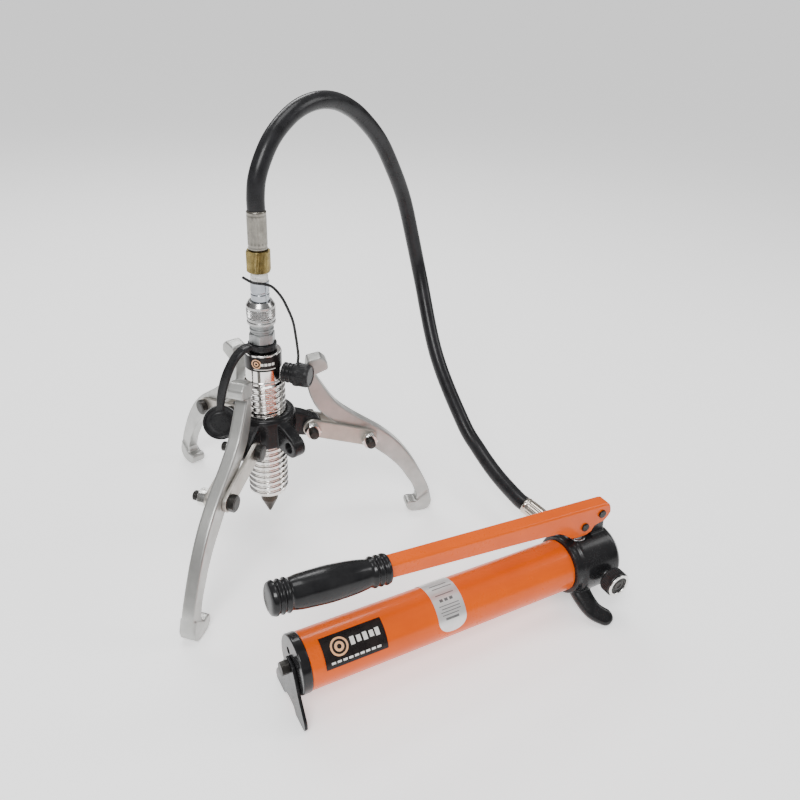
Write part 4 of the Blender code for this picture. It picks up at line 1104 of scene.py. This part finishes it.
@dataclass(frozen=True)
class DustCaps:
    """Cap on a moulded strap, and the smaller cap that hangs on a string."""

    azimuth: float = 187.3
    centre: tuple[float, float] = (59.0, 180.0)
    radius: float = 20.8
    facing: tuple[float, float, float] = (-0.30, -0.92, 0.25)
    route: tuple = ((12, 268), (24, 267), (36, 258), (46, 242), (53, 224), (57, 208), (58.5, 196))
    hang_azimuth: float = -45.0
    hang_start: float = 26.5
    hang_height: float = 236.0
    hang_radius: float = 14.5
    hang_length: float = 34.0

    def strap_cap(self) -> None:
        """Ring round the coupler's neck, strap and disc moulded in one piece."""
        angle = np.radians(self.azimuth)
        out = np.array([np.cos(angle), np.sin(angle), 0.0])
        tangent = np.array([-out[1], out[0], 0.0])
        up = np.array([0.0, 0.0, 1.0])
        facing = unit(np.asarray(self.facing))
        level = unit(np.cross(facing, up))
        level = level * np.sign(level @ tangent)
        stations = spline(self.route, 48)
        path = PULLER + out * stations[:, :1] + up * stations[:, 1:]
        share = np.clip(np.linspace(0, 1, 48) / 0.65 - 0.54, 0, 1)[:, None]
        strap = swept(path, tangent * (1 - share) + level * share, 7.0 - 2.6 * share[:, 0],
                      3.0 - 0.4 * share[:, 0], 48, 4.0)
        ring = revolved(rounded([(8.3, 263.3), (17, 263.3), (17, 271.4), (8.3, 271.4)], 1.2, True))
        r = self.radius
        disc = revolved(rounded([(0, -5.8), (r - 3.2, -5.8), (r - 3.2, 0.4), (r, 0.6), (r, 6.4), (r - 2.6, 6.4),
                                 (r - 3.4, 4.9), (r - 8.2, 4.9), (r - 9.0, 5.6), (0, 5.6)], 0.9), 128)
        centre = PULLER + out * self.centre[0] + up * self.centre[1]
        shells = [ring.moved(ON_PULLER), strap, disc.moved(toward(facing, centre))]
        put("strap_cap", fused("strap_cap", shells, 0.55, 3), RUBBER, "frame", ("strap_dust_cap",), 180)

    def hanging_cap(self) -> bpy.types.Object:
        """Smaller cap with a ribbed neck and a rimmed body, on its side beside the cylinder.

        Returns:
            The piece.
        """
        angle = np.radians(self.hang_azimuth)
        out = np.array([np.cos(angle), np.sin(angle), 0.0])
        place = PULLER + out * self.hang_start + np.array([0.0, 0.0, self.hang_height])
        r, length = self.hang_radius, self.hang_length
        neck = r - 2.4
        profile = rounded([(0, 4), (neck - 2.8, 4), (neck - 2.8, 0), (neck, 0), (neck, 2.2), (neck - 0.9, 2.8),
                           (neck - 0.9, 4.6), (neck, 5.2), (neck, 7.6), (neck - 0.9, 8.2), (neck - 0.9, 10),
                           (neck, 10.6), (neck, 12), (r - 3.4, 12.8), (r - 3.4, 14.2), (r, 15), (r, 19),
                           (r - 0.5, 19.6), (r - 0.5, length - 4), (r - 1.6, length - 0.8), (r - 4, length),
                           (r - 5, length - 0.9), (0, length - 0.9)], 0.55)
        body = revolved(profile, 144, lambda a, h: np.where(
            (h > 20.2) & (h < length - 4.5), -0.35 * np.abs(np.sin(15 * a)) ** 4, 0.0))
        return put("hanging_cap", [body.moved(toward(out, place))], RUBBER, "frame", ("hanging_dust_cap",))

    def build(self) -> bpy.types.Object:
        """Makes both caps.

        Returns:
            The hanging cap, which the string carries.
        """
        self.strap_cap()
        return self.hanging_cap()


@dataclass(frozen=True)
class Cords:
    """Hose between the two units, and the string of the hanging cap."""

    hose_diameter: float = 19.9
    hose_route: tuple = ((80, 281.4, 427.3), (80, 281.4, 440), (82.6, 282.6, 458), (90.5, 286.3, 476.5),
                         (103.5, 292.2, 496), (121, 300.4, 511.5), (141.5, 309.8, 523), (165, 320.6, 528.6),
                         (190, 332, 527.6), (215, 343.8, 519.4), (242, 356.4, 503), (275, 371.6, 472.5),
                         (303.5, 384.8, 431.5), (328, 396, 387), (345.5, 397, 330), (354.5, 385, 277),
                         (350, 321, 184), (350, 242, 117), (354.3, 204.4, 92), (355.8, 160, 76.3),
                         (358.2, 114.5, 67.5), (360.8, 102, 65.7))
    string_diameter: float = 3.2
    string_route: tuple = ((-18.5, 2, 352), (-11, -10, 349), (1.5, -15, 347), (9.5, -17.5, 343),
                           (17.5, -22, 332), (23, -25, 319), (28, -28, 303), (30.5, -30, 283), (32, -31.8, 262),
                           (31.4, -31.4, 252.6))

    def lay(self, name: str, route: Array, diameter: float, guide: tuple[float, float, float], finish: Finish,
            node: str, rings: int, sides: int) -> tuple[bpy.types.Object, list]:
        """A round cord along a smooth route.

        Args:
            name: The piece's name.
            route: Knots in bench millimetres.
            diameter: The cord's diameter.
            guide: A direction that the route never takes.
            finish: Its surface.
            node: The CAD node it stands for.
            rings: Rings along it.
            sides: Points round it.

        Returns:
            The piece, and its centreline in metres in the model's frame.
        """
        path = spline(route, rings)
        radius = np.full(rings, diameter / 2)
        piece = put(name, [swept(path, guide, radius, radius, sides)], finish, "frame", (node,))
        return piece, ((path + BENCH) * MM).tolist()

    def build(self, hanging: bpy.types.Object) -> None:
        """Lays both cords.

        Args:
            hanging: The cap on the string's lower end. Not used.
        """
        hose, path = self.lay("rubber_hose", np.asarray(self.hose_route, float), self.hose_diameter,
                              (-1.0, -1.0, 0.2), HOSE_RUBBER, "hose", 240, 48)
        string, line = self.lay("cap_cord", np.asarray(self.string_route, float) + PULLER, self.string_diameter,
                                (1.0, 1.0, 0.2), RUBBER, "cap_string", 90, 20)


@dataclass(frozen=True)
class Reservoir:
    """Enamelled tube with its rear cap, foot, bolt, screw and labels."""

    radius: float = 30.0
    wall: float = 2.2
    start: float = 10.3
    end: float = 334.7
    label: tuple[float, float, float, float] = (24.5, 92.0, 103.0, 164.0)
    data: tuple[float, float, float, float] = (152.0, 186.0, 35.0, 185.0)

    def tube_and_cap(self) -> None:
        """Tube, rear cap, filler screw, foot plate and foot bolt."""
        inner = self.radius - self.wall
        tube = revolved(rounded([(inner, self.start), (self.radius, self.start), (self.radius, self.end),
                                 (inner, self.end)], 0.5, True), 160)
        put("enamel_tube", [tube.moved(PUMP)], PAINT_RED, "frame", ("reservoir_tube",))
        cap = revolved(rounded([(4.3, 0), (31, 0), (31, 10), (27.6, 10), (27.6, 24), (10, 24), (10, 12), (4.3, 12)],
                               1.8, True), 128).moved(PUMP)
        seat = revolved(np.array([(0, -1.0), (4.0, -1.0), (4.0, 7.0), (0, 7.0)]), 48)
        seat_place = PUMP @ placed((1, 0, 0), (0, 1, 0), (0, 0, 1), (10, 10, 0))
        mesh = cut(raw_mesh("end_cap", [cap]), [seat.moved(seat_place)])
        put("end_cap", mesh, ENAMEL_BLACK, "frame", ("rear_cap",))
        screw = revolved(rounded([(0, 3.2), (1.5, 3.2), (1.5, 1.6), (3.6, 1.6), (3.6, 6.5), (0, 6.5)], 0.3), 48)
        put("filler_plug", [screw.moved(seat_place)], BLACK_OXIDE, "frame", ("filler_screw",))
        half = np.array([(0, 8), (10, 7), (15, 0.2), (37, 0.2), (40, 5), (39, 12), (23, 35), (14, 53), (8, 61)], float)
        outline = rounded(np.vstack([half, half[:0:-1] * (-1, 1)]), 3.0, True, 6)
        plane = placed((0, 1, 0), (0, 0, 1), (1, 0, 0), (0, 0, 0))
        put("foot_plate", [plate(outline, -3.8, -0.3, 0.8).moved(plane)], CAST_BLACK, "frame", ("rear_foot",))
        head = hexagon(15, -12.6, -4.1)
        shank = revolved(rounded([(0, -5), (3.95, -5), (3.95, 20), (0, 20)], 0.4), 48)
        put("foot_screw", [head.moved(PUMP), shank.moved(PUMP)], BLACK_OXIDE, "frame", ("foot_bolt",))
        dress(MACHINED, "suction_pipe")

    def wrapped_sheet(self, low: Array, high: Array, first: float, last: float, thickness: float) -> Shell:
        """A thin sheet bent round the tube between two edges.

        Args:
            low: Where it starts along the tube, at each step round.
            high: Where it ends, at each step round.
            first: First angle in degrees.
            last: Last angle in degrees.
            thickness: How proud it stands of the tube.

        Returns:
            The closed skin.
        """
        angle = np.radians(np.linspace(first, last, len(low)))[:, None]
        inner, outer = self.radius + 0.25, self.radius + 0.25 + thickness
        radius = np.array([[inner, outer, outer, inner]])
        along = np.stack([low, low, high, high], axis=1)
        rings = np.stack([radius * np.cos(angle), radius * np.sin(angle), along], axis=-1)
        return skin(rings, Cap.POLYGON).moved(PUMP)

    def labels(self) -> None:
        """Black label and foil plate, with a generic ring and plain bars in place of print."""
        low, high, first, last = self.label
        ones = np.ones(40)
        put("tube_label", [self.wrapped_sheet(low * ones, high * ones, first, last, 0.4)], LABEL_BLACK, "frame",
            ("pump_label",))
        radius = self.radius + 0.65
        arc = radius * np.pi / 180
        middle = (first + last) / 2
        ring = [wrapped_ring((0.0, low + 17.5), 7.4, 9.4, radius, middle - 5, PUMP),
                wrapped_ring((0.0, low + 17.5), 2.4, 5.0, radius, middle - 5, PUMP)]
        put("tube_ring_mark", ring, PRINT_PEACH, "frame")
        bars = [wrapped_bar(-1.0, low + start, 8.0 - 1.5 * (index % 2), 4.6, radius, middle - 5, PUMP)
                for index, start in enumerate((32.0, 39.0, 46.0, 53.0, 59.5))]
        bars += [wrapped_bar(21 * arc, low + 8 + 6.2 * index, 2.3, 4.4, radius, middle, PUMP) for index in range(9)]
        put("tube_bar_marks", bars, PRINT_WHITE, "frame")
        low, high, first, last = self.data
        steps = np.linspace(0, 1, 80)
        narrow = (high - low) / 2 * (1 - np.sqrt(np.clip(1 - np.clip((steps - 0.80) / 0.20, 0, 0.999) ** 2, 0, 1)))
        put("foil_plate", [self.wrapped_sheet(low + narrow, high - narrow * 0.9, first, last, 0.4)], FOIL, "frame",
            ("data_plate",))
        lines = [wrapped_bar((angle - 110) * arc, (low + high) / 2 + shift, tall, width, radius, 110, PUMP)
                 for angle, shift, tall, width in ((78, 0, 1.2, 20), (88, 2, 1.2, 24), (104, 0, 1.0, 22),
                                                   (116, -1, 3.2, 4), (116, 5, 3.2, 4), (116, -7, 3.2, 4),
                                                   (127, 0, 0.8, 24), (133, 1, 0.8, 22), (139, 0, 0.8, 24),
                                                   (145, -1, 0.8, 20), (153, 0, 2.6, 16))]
        put("foil_line_marks", lines, PRINT_DARK, "frame")

    def build(self) -> None:
        """Makes and dresses every piece of the reservoir."""
        self.tube_and_cap()
        self.labels()


@dataclass(frozen=True)
class PumpHead:
    """Cast head with its collar, two horn legs and fulcrum ear, and the hose port."""

    start: float = 335.0
    end: float = 401.0
    radius: float = 38.0
    collar: float = 35.0
    fulcrum: tuple[float, float] = (379.0, 122.0)
    plunger_x: float = 355.2
    valve_x: float = 375.0
    port: tuple[float, float, float] = (375.0, 36.0, 56.0)
    port_direction: tuple[float, float, float] = (-0.208, 0.967, 0.141)

    def casting(self) -> None:
        """The head: turned body, flat-sided horns and a rounded ear, blended, then bored."""
        profile = rounded([(0, self.start - 18), (27.5, self.start - 18), (27.5, self.start), (self.collar, self.start),
                           (self.collar, self.start + 9), (self.radius, self.start + 11.5),
                           (self.radius, self.end - 7), (self.radius - 6, self.end - 0.3), (0, self.end - 0.3)], 2.4)
        shells = [revolved(profile, 160).moved(PUMP)]
        count = 60
        for sign in (-1, 1):
            spine = spline([(352, 14, 36), (352, 30, 25), (356, 46, 14.5), (365, 57, 9.4), (373, 63, 7.4)], count)
            share = np.linspace(0, 1, count)
            dome = np.sqrt(np.clip(1 - np.clip((share - 0.86) / 0.14, 0, 0.96) ** 2, 0, 1))
            shells.append(swept(spine * (1, sign, 1), (1, 0.5 * sign, 0), (12.5 - 3.0 * share) * dome,
                                (9 - 2.8 * share) * dome ** 0.5, 64, 2.8))
        x, z = self.fulcrum
        angle = np.radians(np.linspace(190, -10, 30))
        lobe = np.stack([x + 9 * np.cos(angle), z + 9 * np.sin(angle)], axis=1)
        ear = rounded(np.vstack([[(368, 82)], lobe, [(392, 82)]]), 0.6, True, 2)
        shells.append(plate(ear, -5.8, 5.8, 1.2).moved(UPRIGHT))
        mesh = fused("pump_casting", shells, 0.9, 3)
        down = placed((1, 0, 0), (0, 1, 0), (0, 0, 1), (self.plunger_x, 0, 0))
        bore = revolved(np.array([(0, 46), (7.3, 46), (7.3, 80), (10.5, 80), (10.5, 120), (0, 120)], float), 64)
        outline = rounded([(-11, -11), (16, -11), (16, 11), (-11, 11)], 2.0, True)
        top = plate(outline, 91, 120, 0.5)
        mesh = cut(mesh, [bore.moved(down), top.moved(down)])
        put("pump_casting", mesh, CAST_BLACK, "frame", ("pump_head",), 50)
        gland = revolved(rounded([(7.3, 80.3), (10.2, 80.3), (10.2, 92.4), (7.3, 92.4)], 0.7, True), 96)
        put("gland_ring", [gland.moved(down)], MACHINED, "frame", ("plunger_gland",))

    def hose_port(self) -> None:
        """Hexagon adapter in the far side, and the hose's ferrule."""
        along = toward(self.port_direction, self.port)
        pipe = revolved(rounded([(0, -12), (7.9, -12), (7.9, 8), (0, 8)], 0.5), 64)
        neck = revolved(rounded([(0, 19), (8.5, 19), (8.5, 23), (7.6, 23.5), (7.6, 25), (8.5, 25.5), (8.5, 27),
                                 (0, 27)], 0.4), 64)
        nut = hexagon(24, 7, 20)
        put("port_hexagon", [shell.moved(along) for shell in (pipe, neck, nut)], WARM_STEEL, "frame",
            ("port_adapter",))
        put("pump_crimp", [crimp(10.9, 27.3, 67.0).moved(along)], WARM_STEEL, "frame", ("pump_ferrule",), 40)

    def valve(self) -> None:
        """Release valve: stem, knurled knob, bright ring and grey face."""
        out = toward((0, -1, 0), (self.valve_x, 0, AXIS_HEIGHT))
        stem = revolved(rounded([(0, 19), (5, 19), (5, 41.7), (0, 41.7)], 0.4), 64)
        put("valve_spindle", [stem.moved(out)], MACHINED, "release_valve", ("valve_stem",))
        profile = rounded([(0, 42), (8, 42), (14.2, 44), (15.6, 46.2), (15.6, 57), (14.9, 58.5), (10.4, 58.5),
                           (10.4, 57.2), (0, 57.2)], 0.6)
        heights = np.linspace(46.5, 56.5, 24)
        split = int(np.argmax(profile[:, 1] > 46.5))
        later = int(np.argmax(profile[:, 1] > 56.5))
        profile = np.vstack([profile[:split], np.column_stack([np.full(24, 15.6), heights]), profile[later:]])
        knob = revolved(profile, 240, lambda a, h: np.where(
            (h > 46.4) & (h < 56.6), -0.55 * np.abs(np.sin(18 * a)) ** 2
            * np.clip((h - 46.4) / 0.8, 0, 1) * np.clip((56.6 - h) / 0.8, 0, 1), 0.0))
        put("knurled_knob", [knob.moved(out)], RUBBER, "release_valve", ("release_knob",), 40)
        ring = revolved(rounded([(10.7, 59), (14.7, 59), (14.3, 60), (11.2, 60)], 0.35, True), 128)
        put("knob_ring", [ring.moved(out)], ZINC_BRIGHT, "release_valve", ("knob_bezel",))
        face = revolved(rounded([(0, 57.3), (10.1, 57.3), (10.1, 58.6), (8.6, 59.0), (8.0, 58.2), (6.4, 58.2),
                                 (5.9, 58.9), (3.6, 58.9), (3.1, 58.2), (0, 58.2)], 0.25), 128)
        put("knob_face", [face.moved(out)], BLACK_OXIDE, "release_valve")

    def build(self) -> None:
        """Makes and dresses every piece of the head."""
        self.casting()
        self.hose_port()
        self.valve()
        bevelled("plunger", "pump_plunger", MACHINED, "plunger_body", 0.5)


@dataclass(frozen=True)
class Lever:
    """Folded-channel lever with its grip and pins."""

    half_width: float = 9.0
    wall: float = 2.4
    pins: tuple = (("fulcrum_pin", 379.0, 122.0), ("plunger_pin", 356.0, 110.5))
    under: tuple = ((100, 133.7), (270, 118.5), (318, 113), (327, 108.4), (334, 102.5), (341, 98.4), (350, 97.2),
                    (361, 97.2), (367.5, 100), (371, 107), (378, 108.6), (385.6, 110), (390, 114.5), (392.8, 120))
    over: tuple = ((100, 151.1), (384, 134.2), (388, 133.4), (391, 130.8), (392.6, 126), (392.8, 124))
    grip_ends: tuple = ((-22.0, 150.5), (102.0, 139.9))
    ribs: tuple = ((2, 15.6), (6, 17.0), (9, 15.0), (12, 17.0), (15, 15.0), (18, 17.0), (21.5, 15.4), (27, 16.2),
                   (34, 17.0), (58, 18.0), (74, 17.5), (88, 16.5), (98, 15.2), (104, 14.4), (108, 16.0),
                   (111.3, 14.2), (114.6, 16.0), (117.6, 14.2), (120.6, 16.0), (123.6, 15.4))

    def channel(self) -> Shell:
        """The folded channel: an upside-down U whose outer corners are quarter circles.

        Top and bottom heights are read along the lever from two outlines, and the section is built between them.

        Returns:
            The closed skin.
        """
        x = np.unique(np.concatenate([np.linspace(100, 318, 60), np.linspace(318, 392.8, 120)]))
        top = np.interp(x, *np.asarray(self.over, float).T)
        bottom = np.minimum(np.interp(x, *np.asarray(self.under, float).T), top - 2.9)
        width, wall, fold = self.half_width, self.wall, 3.4
        turn = np.linspace(0, np.pi / 2, 8)
        outer_y = width - fold + fold * np.cos(turn)
        outer_drop = fold - fold * np.sin(turn)
        inner_fold = fold - wall
        inner_y = (width - wall) - inner_fold + inner_fold * np.cos(turn[::-1])
        inner_drop = wall + inner_fold - inner_fold * np.sin(turn[::-1])
        y = np.concatenate([[width - 0.5, width], outer_y, -outer_y[::-1], [-width, 0.5 - width],
                            [wall - width + 0.4, wall - width], -inner_y[::-1], inner_y,
                            [width - wall, width - wall - 0.4]])
        gap = np.concatenate([outer_drop, outer_drop[::-1]])
        inside = np.concatenate([inner_drop[::-1], inner_drop])
        low = bottom[:, None]
        high = top[:, None]
        z = np.concatenate([low, low + 0.5, np.maximum(high - gap, low + 0.7), low + 0.5, low, low, low + 0.4,
                            np.maximum(high - inside, low + 0.5), low + 0.4, low], axis=1)
        rings = np.stack([np.broadcast_to(x[:, None], z.shape), np.broadcast_to(y, z.shape), z], axis=-1)
        return skin(rings, Cap.POLYGON)

    def build(self) -> None:
        """Makes and dresses the lever, its tongue, its grip and its pins."""
        tongue = plate(rounded([(-6, 145.2), (117, 134.2), (117, 149.2), (-6, 153.0)], 1.0, True), -5, 5, 0.8)
        put("channel_lever", [self.channel(), tongue.moved(UPRIGHT)], PAINT_RED, "handle", ("lever",), 40)
        (x0, z0), (x1, z1) = self.grip_ends
        start, end = np.array([x0, 0, z0]), np.array([x1, 0, z1])
        length = float(np.linalg.norm(end - start))
        profile = spline([(radius, place) for place, radius in self.ribs], 220)
        profile = np.vstack([[(0, 0.2), (9.5, 0.2), (13.2, 0.7)], profile, [(13.4, length), (0, length)]])

        def flats(angle: Array, height: Array) -> Array:
            """Four shallow finger flats along the swelling."""
            share = np.clip((height - 24) / 14, 0, 1) * np.clip((102 - height) / 14, 0, 1)
            return -0.55 * share * (0.5 + 0.5 * np.cos(4 * angle)) ** 2

        put("ribbed_grip", [revolved(profile, 128, flats).moved(toward(end - start, start))], GRIP_RUBBER, "handle",
            ("grip",), 60)
        for name, x, z in self.pins:
            reach = self.half_width + 0.3
            shaft = rounded([(0, -reach - 2.2), (5, -reach - 2.2), (5, -reach), (3.5, -reach), (3.5, reach),
                             (5, reach), (5, reach + 2.2), (0, reach + 2.2)], 0.8)
            put(f"{name}_turned", [revolved(shaft, 64).moved(toward((0, -1, 0), (x, 0, z)))], BLACK_OXIDE, "handle",
                (name,))


@dataclass(frozen=True)
class Studio:
    """Pale floor, soft lights and the camera."""

    place: tuple[float, float, float] = (-0.342805, -0.715523, 0.6533)
    right: tuple[float, float, float] = (0.87607, -0.48008, 0.04496)
    up: tuple[float, float, float] = (0.20017, 0.44693, 0.87189)
    forward: tuple[float, float, float] = (0.43867, 0.75484, -0.48764)
    lens: float = 34.165

    def camera(self) -> None:
        """The camera."""
        data = bpy.data.cameras.new("camera")
        data.lens = self.lens
        data.sensor_width = 36.0
        data.clip_start = 0.01
        camera = bpy.data.objects.new("camera", data)
        matrix = Matrix.Identity(4)
        for column, axis in enumerate((self.right, self.up, [-value for value in self.forward])):
            for row in range(3):
                matrix[row][column] = axis[row]
        matrix.translation = Vector(self.place)
        camera.matrix_world = matrix
        bpy.context.scene.collection.objects.link(camera)
        bpy.context.scene.camera = camera

    def floor(self) -> None:
        """A wide plain floor."""
        mesh = bpy.data.meshes.new("floor")
        reach = 150.0
        mesh.from_pydata([(-reach, -reach, -0.0006), (reach, -reach, -0.0006), (reach, reach, -0.0006),
                          (-reach, reach, -0.0006)], [], [(0, 1, 2, 3)])
        material = bpy.data.materials.new("floor")
        material.use_nodes = True
        shader = material.node_tree.nodes["Principled BSDF"]
        shader.inputs["Base Color"].default_value = (0.92, 0.92, 0.92, 1.0)
        shader.inputs["Roughness"].default_value = 0.75
        shader.inputs["Specular IOR Level"].default_value = 0.2
        shader.inputs["Emission Color"].default_value = (1.0, 1.0, 1.0, 1.0)
        shader.inputs["Emission Strength"].default_value = 0.75
        mesh.materials.append(material)
        floor = bpy.data.objects.new("floor", mesh)
        bpy.context.scene.collection.objects.link(floor)

    def light(self, name: str, place: tuple[float, float, float], power: float, size: tuple[float, float],
              tone: tuple[float, float, float] = (1.0, 1.0, 1.0)) -> None:
        """A soft rectangular light aimed at the middle of the set.

        Args:
            name: Its name.
            place: Where it hangs.
            power: Its power in watts.
            size: Its width and height in metres.
            tone: Its colour.
        """
        data = bpy.data.lights.new(name, "AREA")
        data.shape = "RECTANGLE"
        data.size, data.size_y = size
        data.energy = power
        data.color = tone
        lamp = bpy.data.objects.new(name, data)
        lamp.location = place
        lamp.rotation_euler = (Vector((0, 0, 0.15)) - Vector(place)).to_track_quat("-Z", "Y").to_euler()
        bpy.context.scene.collection.objects.link(lamp)

    def world(self) -> None:
        """Bright all round, with a darker belt a little over the horizon that gives metal its contrast."""
        world = bpy.data.worlds.new("studio")
        world.use_nodes = True
        tree = world.node_tree
        back = tree.nodes["Background"]
        place = tree.nodes.new("ShaderNodeTexCoord")
        split = tree.nodes.new("ShaderNodeSeparateXYZ")
        ramp = tree.nodes.new("ShaderNodeValToRGB")
        tree.links.new(place.outputs["Generated"], split.inputs["Vector"])
        tree.links.new(split.outputs["Z"], ramp.inputs["Fac"])
        stops = ((0.0, (0.55, 0.53, 0.51)), (0.06, (0.10, 0.085, 0.075)), (0.20, (0.14, 0.12, 0.10)),
                 (0.34, (0.80, 0.80, 0.81)), (1.0, (1.0, 1.0, 1.0)))
        ramp.color_ramp.elements[0].position = stops[0][0]
        ramp.color_ramp.elements[0].color = (*stops[0][1], 1)
        ramp.color_ramp.elements[1].position = stops[-1][0]
        ramp.color_ramp.elements[1].color = (*stops[-1][1], 1)
        for position, colour in stops[1:-1]:
            stop = ramp.color_ramp.elements.new(position)
            stop.color = (*colour, 1)
        tree.links.new(ramp.outputs["Color"], back.inputs["Color"])
        back.inputs["Strength"].default_value = 0.42
        bpy.context.scene.world = world

    def build(self) -> None:
        """Sets up the camera, the floor, the lights and the world."""
        self.camera()
        self.floor()
        self.world()
        self.light("key", (-1.0, -1.1, 1.7), 30.0, (0.8, 0.6))
        self.light("fill", (1.6, -0.6, 1.3), 9.0, (0.5, 0.9))
        self.light("back", (0.1, 1.5, 1.7), 20.0, (1.4, 0.5))
        self.light("top", (0.0, 0.1, 2.3), 16.0, (0.9, 0.9))


def main() -> None:
    """Builds the whole set."""
    logging.basicConfig(level=logging.INFO, format="%(name)s %(message)s")
    Studio().build()
    Cords().build(DustCaps().build())
    Cylinder().build()
    Hub().build()
    for side in Side:
        JawSet(side).build()
    Coupler().build()
    Reservoir().build()
    PumpHead().build()
    Lever().build()


if __name__ == "__main__":
    main()
